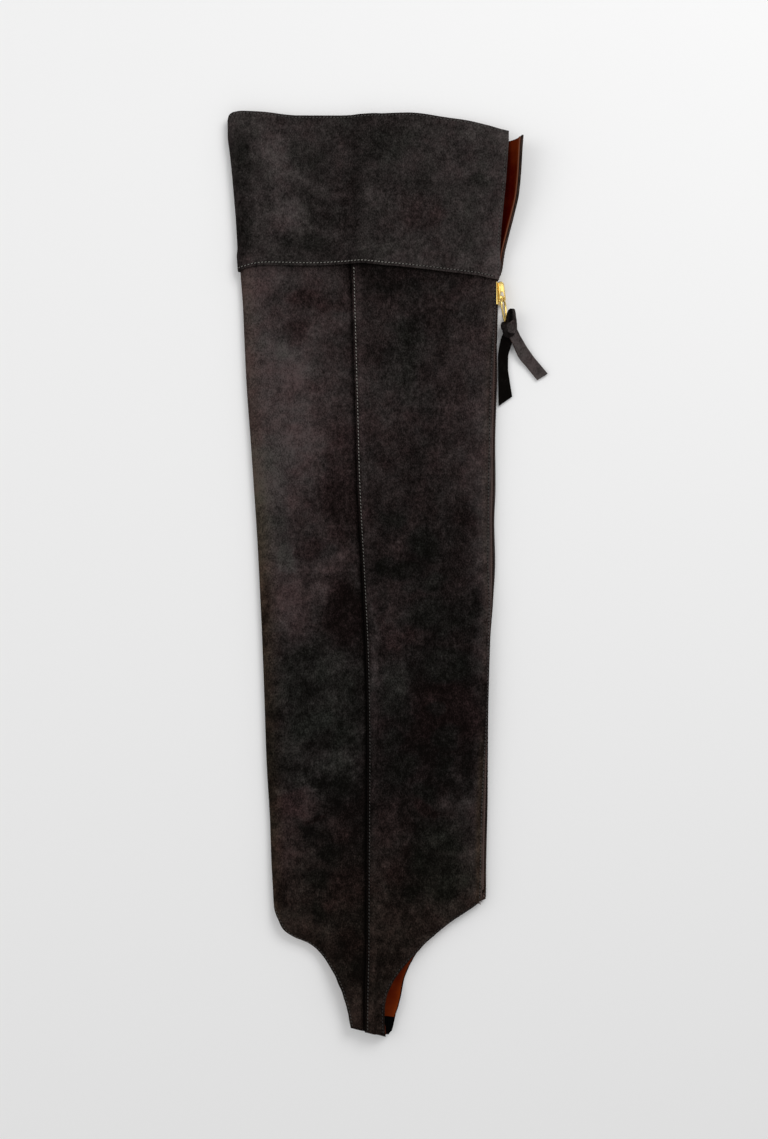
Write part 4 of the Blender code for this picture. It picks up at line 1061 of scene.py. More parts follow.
def make_looks() -> Looks:
    """Mix every material once."""
    suede = brushed_suede("charcoal brown suede", "080605", "4A4342", 0.0)
    # the cut edge is darker: partly the hide's tighter core, partly painted shade that deepens the shadow at
    # the seam's step
    raw = brushed_suede("raw suede edge", "0A0706", "4A3C35", -0.1)

    r = Recipe("cognac smooth leather")
    # dyed smooth side with fine pores, mixed from deep red-brown to tan by the red value: on the cuff that is
    # painted shade deep in its fold and a painted highlight along its free edge
    light_and_rub = r.node("SeparateColor", "Red", Color=r.own("nap_and_painted_light", "Color"))
    share = r.node("Clamp", Value=r.maths("ADD", light_and_rub, r.about(r.grain(9, 3), 0.35)), Min=0.0, Max=1.0)
    base = r.blend(share, linear("3C0400"), linear("8E3F14"))
    bump = r.bumps(r.grain(0.9, 2), 0.25, 0.2)
    lining = r.done(Base_Color=base, Roughness=0.55, Normal=bump, Specular_IOR_Level=0.01)

    r = Recipe("raw cognac edge")
    # the lining's cut edge is paler and dull
    lining_edge = r.done(Base_Color=linear("653D2C"), Roughness=0.85, Specular_IOR_Level=0.1)

    r = Recipe("woven brown zip tape")
    # close herringbone weave, drawn at 1 mm as the true 0.3 mm one would vanish
    weave = r.waves("DIAGONAL", 160.0, Distortion=0.6)
    base = r.blend(weave, linear("443430"), linear("6E574F"))
    bump = r.bumps(weave, 0.4, 0.2)
    tape = r.done(Base_Color=base, Roughness=0.9, Normal=bump)

    r = Recipe("brown nylon coil")
    # moulded nylon: a soft highlight on each turn
    coil = r.done(Base_Color=linear("5C4741"), Roughness=0.42)

    r = Recipe("polished gold metal")
    # bright plating with faint handling haze
    haze = r.grain(2.5, 3)
    rough = r.node("MapRange", Value=haze, i1=0.3, i2=0.7, i3=0.10, i4=0.24)
    gold = r.done(Base_Color=linear("E9CA78"), Metallic=1.0, Roughness=rough)

    r = Recipe("black ribbed elastic")
    # ribs run along the band
    ribs = r.waves("X", 200.0)
    base = r.blend(ribs, linear("010101"), linear("080707"))
    bump = r.bumps(ribs, 0.5, 0.3)
    elastic = r.done(Base_Color=base, Roughness=0.95, Normal=bump, Specular_IOR_Level=0.02)

    r = Recipe("grey polyester thread")
    # grey twisted thread, its brightness given per copy: pale high on the side seam, where it is a painted
    # highlight, and along the cuff's foot; dark where the pile has closed over it
    glow = r.own("glow", "Fac")
    thread = r.done(Base_Color=r.blend(glow, linear("0C0908"), linear("8A8881")), Roughness=0.7)

    r = Recipe("needle hole")
    # painted shade: a dark lens stands for the shadow inside a pricked hole
    hole = r.done(Base_Color=linear("0D0A0A"), Roughness=1.0, Specular_IOR_Level=0.0)
    return Looks(suede, raw, lining, lining_edge, tape, coil, gold, elastic, thread, hole)


@dataclass
class Part:
    """What every sub-assembly is shaped by and dressed in."""

    form: Form
    looks: Looks
    nap_and_painted_light: NapAndPaintedLight

    def suede(self, name: str, grids: Sequence[Grid], side: int = 1,
              tint: Optional[Tint] = None) -> Object:
        """Build a shell of suede.

        Args:
            name: The piece.
            grids: Its rows of places.
            side: 1 where the first grid faces up, -1 where it faces down.
            tint: Its brightness and hue, where the pile's map doesn't give them.

        Returns:
            The shell.
        """
        cloth = Cloth(name, self.form.suede, self.looks.suede, self.looks.raw, self.nap_and_painted_light, tint)
        return cloth.build(grids, Vector((0, 0, side)))


@dataclass
class Leg(Part):
    """Front panel and both back panels, from the strap ends to under the cuff."""

    pitch: float = 1.8
    straight: float = 480.0
    inset: float = 1.0
    lining_top: float = 82.0

    def hem_levels(self, ply: Ply) -> list[float]:
        """Return the rows from where the fold opens down to a strap's end."""
        high, low = self.form.fold_end - 1.4, ply.foot + 3
        number = round((high - low) / 1.5)
        rows = [mix(high, low, k / number) for k in range(number + 1)]
        return [self.form.fold_end] + rows + [ply.foot + lift for lift in (2, 1.2, 0.5, 0)]

    def tracks(self) -> list[Track]:
        """Return the rows from the hem's start to the cut edge under the cuff."""
        first = HEM_END + self.pitch
        number = round((self.straight - first) / self.pitch)
        rows = [level_track(self.form.fold_end), level_track(HEM_END)]
        rows += [level_track(mix(first, self.straight, k / number)) for k in range(number + 1)]
        return rows + [self.upper_track(k / 36) for k in range(1, 37)]

    def upper_track(self, share: float) -> Track:
        """Return a row between a straight one and the edge under the cuff."""
        return lambda x: mix(self.straight, self.form.foot(x) + self.form.cuff_lap, share)

    def front_columns(self, ply: Ply, level: float, wander: Wander) -> list[float]:
        """Return the front panel's columns on one ply, from its left edge to its lap's end."""
        f = self.form
        laps = f.laps(level, ply)
        end = f.curves["seam"](level) + (laps[0] if ply is Ply.UPPER else laps[1]) - 0.4
        above = level - f.foot(end)
        start = f.side_start(ply, level)
        if level < f.fold_end:
            start += wander(level) + 0.1
        last = f.to_x(end, level, above)
        if ply is Ply.UNDER:
            return stations(start, last, 44, EDGE_STEPS)
        seam = f.to_x(f.curves["seam"](level), level, above)
        beside = [seam + d for d in (-2.4, -1.6, -1.0, -0.6, -0.2, 0.3, 1.0)]
        return stations(start, seam - 3.4, 42, EDGE_STEPS, high=False) + beside + stations(
            seam + 2.2, last, 3, EDGE_STEPS[:4], low=False)

    def back_columns(self, ply: Ply, level: float, wander: Wander, far: Wander) -> list[float]:
        """Return a back panel's columns, from its cut edge at the side seam to the zip."""
        f = self.form
        seam = f.curves["seam"](level)
        start = seam + (0 if ply is Ply.UPPER else f.laps(level, ply)[0]) + wander(level)
        first = f.to_x(start, level, level - f.foot(start))
        end = f.side_end(ply, level, level - f.foot(BACK_SIDE)) + far(level) * (1 if level < HEM_TOP else 0.3)
        return stations(first, end, 66, BACK_STEPS)

    def front(self) -> Object:
        """Build the front panel round the fold, with its two half straps."""
        upper, under = (Skin(self.form, "front", ply) for ply in Ply)
        edge = Wander(11, 0.22)
        whole: Grid = []
        for track in self.tracks():
            level = track(-20.0)
            low = under.row(self.front_columns(Ply.UNDER, level, edge), track)
            high = upper.row(self.front_columns(Ply.UPPER, level, edge), track)
            whole.append(low[::-1] + high[1:])
        grids = [whole]
        for skin in (upper, under):
            grids.append([skin.row(self.front_columns(skin.ply, level, edge), level_track(level))
                          for level in self.hem_levels(skin.ply)])
        return self.suede("front_panel_suede", grids, -1)

    def back(self, ply: Ply) -> Object:
        """Build one back panel, from its lap at the side seam to the zip."""
        skin = Skin(self.form, "back", ply)
        edge, far = Wander(23 if ply is Ply.UPPER else 29, 0.2), Wander(31, 0.15)
        tracks = [level_track(level) for level in self.hem_levels(ply)[::-1]] + self.tracks()[1:]
        grid = [skin.row(self.back_columns(ply, track(20.0), edge, far), track) for track in tracks]
        return self.suede(f"back_panel_{ply.place}_suede", [grid], ply.side)

    def strap_lining(self, ply: Ply) -> Object:
        """Build the cognac lining of one strap."""
        skin = Skin(self.form, "strap", ply)
        grid: Grid = []
        for k in range(53):
            level = mix(ply.foot + self.inset, self.lining_top, k / 52)
            start = self.form.side_start(ply, level) + self.inset
            peep = 1.4 * smooth((13.0 - level) / 4.0) if ply is Ply.UPPER else 0.0
            end = self.form.side_end(ply, level) - self.inset + peep
            grid.append(skin.row(stations(start, end, 24, EDGE_STEPS), level_track(level)))
        cloth = Cloth(f"strap_lining_{ply.place}_leather", self.form.lining, self.looks.lining,
                      self.looks.lining_edge, self.nap_and_painted_light, tint=self.strap_tone)
        return cloth.build([grid], Vector((0, 0, ply.side)))

    def strap_tone(self, x: float, up: float) -> tuple[float, float]:
        """Return how light a strap's lining is: lighter beside its right edge and towards its end."""
        edge = self.form.curves["hem_under_right"](up) - 1.0
        return 0.17 + 0.16 * ridge(x - edge, 2.0) + 0.10 * ridge(up - 18, 6), 0.0


@dataclass
class Cuff(Part):
    """The upper band and its lining, from zip edge to zip edge."""

    def end(self, ply: Ply, track: Track, inset: float = 0.0) -> float:
        """Return the last column of a row on one ply."""
        level = track(ZIP_SIDE)
        return self.form.end(ply, level, level - self.form.foot(ZIP_SIDE)) - inset

    def rows(self, first: Row, last: float) -> list[tuple[Track, Track]]:
        """Return pairs of rows, for the upper and the lower ply."""
        f = self.form
        pairs = [(foot_track(f, above), foot_track(f, above)) for above in first]
        shares = [k / 38 for k in range(1, 38)] + [0.985, 0.992, 0.997, 1.0]
        return pairs + [tuple(cuff_track(f, ply, first[-1], share * last) for ply in Ply) for share in shares]

    def band(self, name: str, part: str, pairs: list[tuple[Track, Track]], inset: float, thick: float,
             face: Material, edge: Material) -> Object:
        """Build a band round the fold.

        Args:
            name: The piece.
            part: How it stands off the form.
            pairs: Rows for the upper and the lower ply.
            inset: How far it stops short of the zip edges.
            thick: Wall in mm.
            face: Material of the faces.
            edge: Material of the cut edges.

        Returns:
            The shell.
        """
        grid: Grid = []
        for pair in pairs:
            high, low = (Skin(self.form, part, ply).row(
                stations(0, self.end(ply, track, inset), number, EDGE_STEPS), track)
                for ply, track, number in zip(Ply, pair, (96, 84)))
            high[0] = low[0] = (high[0] + low[0]) / 2
            grid.append(low[::-1] + high[1:])
        tint = self.light_and_rub if face is self.looks.lining else None
        return Cloth(name, thick, face, edge, self.nap_and_painted_light, tint).build([grid], Vector((0, 0, -1)))

    def light_and_rub(self, x: float, up: float) -> tuple[float, float]:
        """Return the lining's painted light: a tan painted highlight along its free edge, lighter near the
        top, and deep red painted shade between.
        """
        edge = self.form.curves["mouth_edge"](up)
        head = smooth((up - 618) / 22)
        return 0.19 * head + 0.48 * smooth((x - edge + 4.2) / 2.4), 0.0

    def build(self) -> tuple[Object, Object]:
        """Build the suede band and the lining."""
        f = self.form
        above = (0.0, 0.4, 1.0, 1.7, 2.4, 3.4, 4.8, 6.4, 8.2, 10.3, 11.6, 13, 14.5, 16, 18, 20)
        suede = self.band("cuff_suede", "cuff", self.rows(above, 1.0), 0.0, f.suede, self.looks.suede,
                          self.looks.raw)
        rows = self.rows((12.0, 13.5, 15, 16.5, 18, 20), 0.989)
        lining = self.band("cuff_lining_leather", "lining", rows, 1.0, f.lining, self.looks.lining,
                           self.looks.lining_edge)
        return suede, lining


def joined_copies(name: str, seed: bpy.types.Mesh, frames: Sequence[Matrix], look: Material,
                  glow: Optional[Glow] = None) -> Object:
    """Copy a small mesh to many places as one object.

    Args:
        name: The piece.
        seed: The mesh to copy.
        frames: One matrix for each copy.
        look: Material of them all.
        glow: How bright each copy is, by its place.

    Returns:
        The joined object.
    """
    verts, faces = [], []
    corners = [v.co.copy() for v in seed.vertices]
    rings = [tuple(p.vertices) for p in seed.polygons]
    for frame_at in frames:
        base = len(verts)
        verts += [frame_at @ c for c in corners]
        faces += [tuple(base + k for k in ring) for ring in rings]
    data = bpy.data.meshes.new(name)
    data.from_pydata([tuple(v) for v in verts], [], faces)
    data.materials.append(look)
    thing = place_mesh(data)
    bpy.ops.object.shade_smooth_by_angle(angle=math.radians(60))
    if glow:
        values = data.attributes.new("glow", "FLOAT", "POINT").data
        for number, frame_at in enumerate(frames):
            bright = glow(frame_at.translation)
            for k in range(len(corners)):
                values[number * len(corners) + k].value = bright
    return thing


def seed_mesh(make: Callable[[], Object]) -> bpy.types.Mesh:
    """Shape a small mesh and take it out of the scene."""
    thing = make()
    data = thing.data
    bpy.data.objects.remove(thing)
    return data


def make_stitch() -> Object:
    """Shape one stitch: a short rounded bar."""
    thing = shape("cube", "stitch", (0.52, 1.5, 0.42), size=1)
    with editing():
        soften(0.17, 2)
    return thing


def make_hole() -> Object:
    """Shape one needle hole: a small dark lens of painted shade that lies in the skin."""
    return shape("uv_sphere", "hole", (0.8, 1.0, 0.16), segments=10, ring_count=6, radius=0.5)


def make_tooth() -> Object:
    """Shape one turn of the coil: a rounded bar across the zip."""
    thing = shape("cube", "tooth", (1.7, 0.52, 1.0), size=1)
    with editing():
        soften(0.2, 1)
    return thing


def make_yarn() -> Object:
    """Shape one loose yarn end: a thin rod along x, cut through its middle."""
    thing = shape("cylinder", "yarn", (1, 1, 1), vertices=6, radius=0.17, depth=2.0)
    with editing():
        bpy.ops.mesh.select_all(action="SELECT")
        turn(90, "Y")
        bpy.ops.mesh.bisect(plane_co=(0, 0, 0), plane_no=(1, 0, 0))
        move(0, 0.3, 0.1)
    return thing


def spin(angle: float, axis: str) -> Matrix:
    """Return a turn about one axis, in degrees."""
    return Matrix.Rotation(math.radians(angle), 4, axis)


def frame_of(x: Vector, y: Vector, z: Vector, place: Vector) -> Matrix:
    """Return the frame with three given axes at a place."""
    frame_at = Matrix((x, y, z)).transposed().to_4x4()
    frame_at.translation = place
    return frame_at


@dataclass
class Stitching:
    """Rows of topstitching on one piece."""

    looks: Looks
    seed: bpy.types.Mesh
    hole: bpy.types.Mesh
    pitch: float = STITCH_PITCH
    slant: float = 12.0

    def along(self, path: Sequence[tuple[Vector, Vector]]) -> list[Matrix]:
        """Spread stitches along a fine path of places and normals.

        Args:
            path: Places in metres with their outward normals.

        Returns:
            Frames of stitches and needle holes in turn.
        """
        frames: list[Matrix] = []
        gone = 0.0
        half = want = self.pitch * MM / 2
        rng = random.Random(len(path))
        for (a, na), (b, nb) in zip(path, path[1:]):
            length = (b - a).length
            while length > 0 and gone + length >= want:
                share = (want - gone) / length
                place, out = a.lerp(b, share), na.lerp(nb, share).normalized()
                way = (b - a).normalized()
                side = way.cross(out).normalized()
                up = side.cross(way)
                sink = 0.02 if out.z > -0.5 else -0.24
                frame_at = frame_of(side, way, up, place + out * sink * MM)
                frames.append(frame_at @ spin(self.slant + rng.uniform(-4, 4), "Z"))
                want += half
            gone += length
        return frames[:len(frames) // 2 * 2]

    def fine(self, frames: Sequence[Matrix]) -> list[Matrix]:
        """Shrink the needle holes of a row that the pile has closed over."""
        return [f @ Matrix.Scale(0.6, 4) if k % 2 else f for k, f in enumerate(frames)]


@dataclass
class Seams:
    """All topstitching, as one joined piece for each panel."""

    form: Form
    cuff: Cuff
    stitching: Stitching
    walk: float = 1.2
    feet: tuple[float, float] = (4.6, 13.4)

    def column(self, skin: Skin, rule: Rule, low: float, high: float) -> list[Matrix]:
        """Stitch up a ply, along q given by a rule of the height."""
        number = max(2, round((high - low) / self.walk))
        levels = (mix(low, high, k / number) for k in range(number + 1))
        return self.stitching.along([skin.spot(rule(level), level_track(level)) for level in levels])

    def across(self, skin: Skin, track: Track, low: float, high: float) -> list[Matrix]:
        """Stitch along a row, between two columns."""
        number = max(2, round((high - low) / self.walk))
        return self.stitching.along([skin.spot(mix(low, high, k / number), track) for k in range(number + 1)])

    def seam_rule(self, ply: Ply, shift: float) -> Rule:
        """Return the column of a stitch row beside the side seam."""
        f = self.form

        def rule(level: float) -> float:
            """Return the column at a height."""
            x = f.curves["seam"](level) + (0 if ply is Ply.UPPER else f.laps(level, ply)[0]) + shift
            return f.to_x(x, level, level - f.foot(x))
        return rule

    def zip_rule(self, ply: Ply, shift: float) -> Rule:
        """Return the column of a stitch row beside the zip or the hem's right edge."""
        return lambda level: self.form.side_end(ply, level, level - self.form.foot(BACK_SIDE)) - shift

    def hem_rule(self, ply: Ply, shift: float) -> Rule:
        """Return the column of a stitch row beside the hem's left edge."""
        return lambda level: self.form.side_start(ply, level) + shift

    def on_back(self, place: Vector) -> float:
        """Return the thread's brightness on a back panel: bright high on the side seam, a painted highlight.
        """
        up = place.y / MM + HALF
        beside = place.x / MM - self.form.curves["seam"](up)
        if abs(beside) < (14 if up > HEM_TOP else 5):
            return 0.10 + 0.24 * smooth((up - 250) / 60) + 0.42 * smooth((up - 330) / 110)
        return 0.10 if up > HEM_TOP else 0.0

    def on_cuff(self, place: Vector) -> float:
        """Return the thread's brightness on the cuff: bright left along its foot."""
        x, up = place.x / MM, place.y / MM + HALF
        if up < self.form.foot(x) + 6:
            return 0.55 + 0.2 * smooth((x + 60) / 30) - 0.45 * smooth((x + 8) / 40)
        return 0.14

    def dress(self, name: str, frames: list[Matrix], glow: Glow) -> dict[str, Object]:
        """Lay the stitches and the needle holes of one panel."""
        sewing = self.stitching
        return {name + "_stitches": joined_copies(name + "_stitches", sewing.seed, frames[0::2],
                                                  sewing.looks.thread, glow=glow),
                name + "_holes": joined_copies(name + "_holes", sewing.hole, frames[1::2], sewing.looks.hole)}

    def build(self) -> dict[str, Object]:
        """Stitch every panel."""
        front: list[Matrix] = []
        for ply, foot in zip(Ply, self.feet):
            front += self.column(Skin(self.form, "front", ply), self.hem_rule(ply, 1.6), foot, 92.5)
        made = self.dress("front_panel", self.stitching.fine(front), lambda place: 0.10)
        for ply, foot, top in zip(Ply, self.feet, (540, 538)):
            skin = Skin(self.form, "back", ply)
            rows = self.column(skin, self.seam_rule(ply, 1.8), foot, 555)
            rows += self.stitching.fine(self.column(skin, self.zip_rule(ply, 1.6), foot, 96))
            rows += self.column(skin, self.zip_rule(ply, 2.1), 98.5, top)
            made |= self.dress(f"back_panel_{ply.place}", rows, self.on_back)
        rows = []
        for ply in Ply:
            skin = Skin(self.form, "cuff", ply)
            foot, head = foot_track(self.form, 2.0), head_track(self.form, ply, 1.5)
            rows += self.across(skin, foot, 0.6, self.cuff.end(ply, foot, 2.0))
            rows += self.stitching.fine(self.across(skin, head, 0.6, self.cuff.end(ply, head, 2.0)))
            rows += self.stitching.fine(self.column(skin, self.zip_rule(ply, 1.8), 547.5, 642.0))
        return made | self.dress("cuff", rows, self.on_cuff)


@dataclass
class Zipper(Part):
    """Tapes, coil and loose yarns of the back zip."""

    foot: float = 104.5
    top: float = 533.2
    coil_top: float = 525.8
    turn_pitch: float = 0.66
    inside: float = 1.7

    def tape(self, name: str, low: float, high: float) -> Object:
        """Build one tape behind a cut edge.

        Args:
            name: The piece.
            low: Its lower side across the zip, in mm.
            high: Its upper side.

        Returns:
            The shell.
        """
        grid: Grid = []
        for k in range(144):
            middle, across, out = self.form.zip_frame(mix(self.foot, self.top, k / 143))
            grid.append([self.form.world(middle + across * mix(low, high, j / 3) - out * self.inside)
                         for j in range(4)])
        return Cloth(name, 1.0, self.looks.tape, self.looks.tape, self.nap_and_painted_light).build([grid], Vector((1, 0, 0)))

    def chain(self) -> Object:
        """Lay the coil's turns, from the two sides in turn."""
        frames: list[Matrix] = []
        number = round((self.coil_top - self.foot - 0.6) / self.turn_pitch)
        for k in range(number):
            middle, across, out = self.form.zip_frame(self.foot + 0.5 + k * self.turn_pitch)
            side = -1 if k % 2 else 1
            place = self.form.world(middle + across * (0.55 * side) - out * 0.85)
            frames.append(frame_of(across, Vector((0, 1, 0)), out, place))
        return joined_copies("zip_coil", seed_mesh(make_tooth), frames, self.looks.coil)

    def frays(self) -> Object:
        """Scatter loose yarn ends where the tapes are cut off at the foot."""
        rng = random.Random(5)
        frames: list[Matrix] = []
        for k in range(26):
            share = rng.random()
            place = (mix(65.6, 69.9, share), mix(94.2, 101.8, share ** 1.4), rng.uniform(2.4, 4.6))
            way = spin(rng.uniform(-75, 15), "Z") @ spin(rng.uniform(-35, 35), "Y")
            size = Matrix.Scale(rng.uniform(0.6, 1.25), 4, Vector((1, 0, 0)))
            frames.append(Matrix.Translation(self.form.world(place)) @ way @ size)
        return joined_copies("zip_foot_frays", seed_mesh(make_yarn), frames, self.looks.tape)

    def build(self) -> list[Object]:
        """Build both tapes, the coil and the loose yarns."""
        return [self.tape("zip_tape_outer_cloth", 0.15, 2.0), self.tape("zip_tape_inner_cloth", -2.0, -0.15),
                self.chain(), self.frays()]


def choose(thing: Object, rule: Callable[[Vector], bool]) -> None:
    """Select the corners of the object being edited by a rule of their place in mm."""
    mesh = bmesh.from_edit_mesh(thing.data)
    for corner in mesh.verts:
        corner.select_set(rule(corner.co / MM))
    mesh.select_flush_mode()
    mesh.select_flush(False)
    mesh.select_flush(True)
    bmesh.update_edit_mesh(thing.data)


@dataclass
class Slider(Part):
    """The zip's slider and its wire pull, in mm across, along and off the zip flat."""

    middle: float = 534.7
    hinge: float = 531.2
    hinge_out: float = 4.2
    lean: float = 0.105
    wire: float = 0.75
    head: float = 543.0

    def put(self, thing: Object) -> Object:
        """Set a finished piece on the zip flat, its own origin left at the world's."""
        place, across, out = self.form.zip_frame(self.middle)
        thing.data.transform(frame_of(-across, Vector((0, 1, 0)), out, self.form.world(place)))
        return thing

    def gild(self, thing: Object) -> Object:
        """Dress a piece in gold and set it on the zip flat."""
        thing.data.materials.clear()
        thing.data.materials.append(self.looks.gold)
        bpy.ops.object.shade_smooth_by_angle(angle=math.radians(40))
        return self.put(thing)

    def block(self, name: str, half: float, along: tuple[float, float], off: tuple[float, float],
              bevel: float = 0.0) -> Object:
        """Shape a block with rounded edges.

        Args:
            name: The piece.
            half: Half its width across the zip.
            along: Its lower and upper ends.
            off: Its inner and outer faces.
            bevel: Rounding of its edges; none at 0.

        Returns:
            The block.
        """
        thing = shape("cube", name, (2 * half, along[1] - along[0], off[1] - off[0]), size=1)
        with editing():
            move(0, (along[0] + along[1]) / 2 - self.middle, (off[0] + off[1]) / 2)
            if bevel:
                soften(bevel, 3)
        return thing

    def plate(self) -> Object:
        """Shape the outer plate: a wedge, wide at its head, with its upper edge bent down."""
        thing = self.block("slider_plate", 3.5, (526.4, self.head), (0.3, 1.6))
        with editing():
            choose(thing, lambda p: p.y < 0)
            bpy.ops.transform.resize(value=(0.9, 1, 1))
            choose(thing, lambda p: p.y > 0 and p.z > 1)
            move(0, -0.8, -0.75)
            bpy.ops.mesh.select_all(action="SELECT")
            soften(0.24, 3)
        return thing

    def eye(self) -> Object:
        """Shape the opening of the bridge, lower towards the head."""
        thing = self.block("slider_eye", 4.0, (529.5, 535.6), (2.3, 5.9))
        with editing():
            choose(thing, lambda p: p.y > 0)
            bpy.ops.transform.resize(value=(1, 1, 0.55))
            move(0, 0, -0.35)
            bpy.ops.mesh.select_all(action="SELECT")
            soften(0.7, 4)
        return thing

    def bridge(self) -> Object:
        """Shape the arched bridge: a rounded hump with an eye for the pull."""
        thing = self.block("slider_bridge", 1.3, (528.4, self.head), (1.2, 6.7))
        with editing():
            choose(thing, lambda p: p.z > 6 and p.y > 0)
            move(0, 0, -2.0)
            soften(1.8, 6)
            choose(thing, lambda p: p.z > 6 and p.y < 0)
            soften(2.4, 6)
        eye = self.eye()
        modify(thing, "BOOLEAN", object=eye, solver="EXACT")
        modify(thing, "BEVEL", width=0.32 * MM, segments=3, limit_method="ANGLE",
               angle_limit=math.radians(50))
        bpy.data.objects.remove(eye)
        return thing

    def body(self) -> Object:
        """Join the plates, the neck and the bridge."""
        pieces = [self.plate(), self.bridge(),
                  self.block("slider_back", 1.9, (527.9, 536.0), (-3.9, -3.0), 0.2),
                  self.block("slider_neck", 1.0, (533.5, 535.7), (-3.4, 0.8), 0.2)]
        pick(pieces[0])
        for piece in pieces[1:]:
            piece.select_set(True)
        bpy.ops.object.join()
        thing = bpy.context.object
        thing.name = thing.data.name = "slider_metal"
        return self.gild(thing)

    def ring(self) -> Object:
        """Bend the pull's wire into a long drop that hangs in the bridge's eye."""
        bpy.ops.curve.primitive_bezier_circle_add(radius=1)
        thing = bpy.context.object
        thing.name = "pull_wire"
        wire = thing.data
        wire.dimensions = "3D"
        wire.bevel_depth = self.wire * MM
        wire.bevel_resolution = 5
        wire.resolution_u = 24
        bends = (((-5.2, 5.4), (-5.2, 9.0), (-5.2, 2.6)), ((0, 0), (-2.8, 0), (2.8, 0)),
                 ((5.2, 5.4), (5.2, 2.6), (5.2, 9.0)), ((0, 17.4), (1.9, 17.4), (-1.9, 17.4)))
        for point, places in zip(wire.splines[0].bezier_points, bends):
            point.handle_left_type = point.handle_right_type = "FREE"
            spots = [Vector((half, self.hinge - self.middle - down, self.hinge_out + self.lean * down)) * MM
                     for half, down in places]
            point.co, point.handle_left, point.handle_right = spots
        pick(thing)
        bpy.ops.object.convert(target="MESH")
        thing = bpy.context.object
        thing.data.materials.clear()
        thing.data.materials.append(self.looks.gold)
        bpy.ops.object.shade_smooth()
        return self.put(thing)

    def barrel(self) -> Object:
        """Turn the rounded barrel on which the pull swings inside the eye."""
        thing = shape("cylinder", "pull_barrel", (1.3, 1.3, 6.6), vertices=40, radius=1, depth=1)
        with editing():
            turn(90, "Y")
            move(0, self.hinge - self.middle, self.hinge_out)
            soften(0.4, 3, held=True)
        return self.gild(thing)

    def build(self) -> tuple[Object, Object, Object]:
        """Build the slider, the pull's wire and its barrel."""
        return self.body(), self.ring(), self.barrel()


@dataclass
class Stirrup(Part):
    """The black elastic between the two strap ends, folded under."""

    thick: float = 1.0
    low: float = 3.4
    fold: float = 1.8
    fold_level: float = 4.15
    levels: Row = (4.6, 12.1, 26.0)
    low_sides: tuple[Row, Row] = ((-20.6, -19.8, -22.6), (2.9, 5.2, 7.6))
    high_sides: tuple[Row, Row] = ((-24.0, -25.6, -27.5), (-2.9, -3.4, -3.4))

    def row(self, left: float, right: float, level: float, height: float, slant: float) -> list[Vector]:
        """Return one row of places across the band."""
        return [self.form.world((x, level + slant * (-10.0 - x) * 0.19, height))
                for x in (mix(left, right, k / 12) for k in range(13))]

    def leg(self, sides: tuple[Row, Row], height: float) -> Grid:
        """Return the rows of one leg of the band, from its end down to the fold."""
        left, right = (Fair(self.levels, side) for side in sides)
        rows: Grid = []
        for k in range(13):
            level = mix(26.0, 5.1, k / 12)
            slant = clamp((12.1 - level) / 8)
            rows.append(self.row(left(level), right(level), level, height, slant))
        return rows

    def build(self) -> Object:
        """Build the band: lower leg, fold and upper leg."""
        grid = self.leg(self.low_sides, self.low)
        for k in range(9):
            bend = math.radians(-90 + 22.5 * k)
            level = self.fold_level - self.fold * math.cos(bend)
            height = self.low + self.fold * (1 + math.sin(bend))
            grid.append(self.row(mix(-21.0, -23.2, k / 8), mix(1.9, -0.9, k / 8), level, height, 1.0))
        grid += self.leg(self.high_sides, self.low + 2 * self.fold)[::-1]
        cloth = Cloth("stirrup_elastic_band", self.thick, self.looks.elastic, self.looks.elastic, self.nap_and_painted_light)
        return cloth.build([grid], Vector((0, 0, 1)))


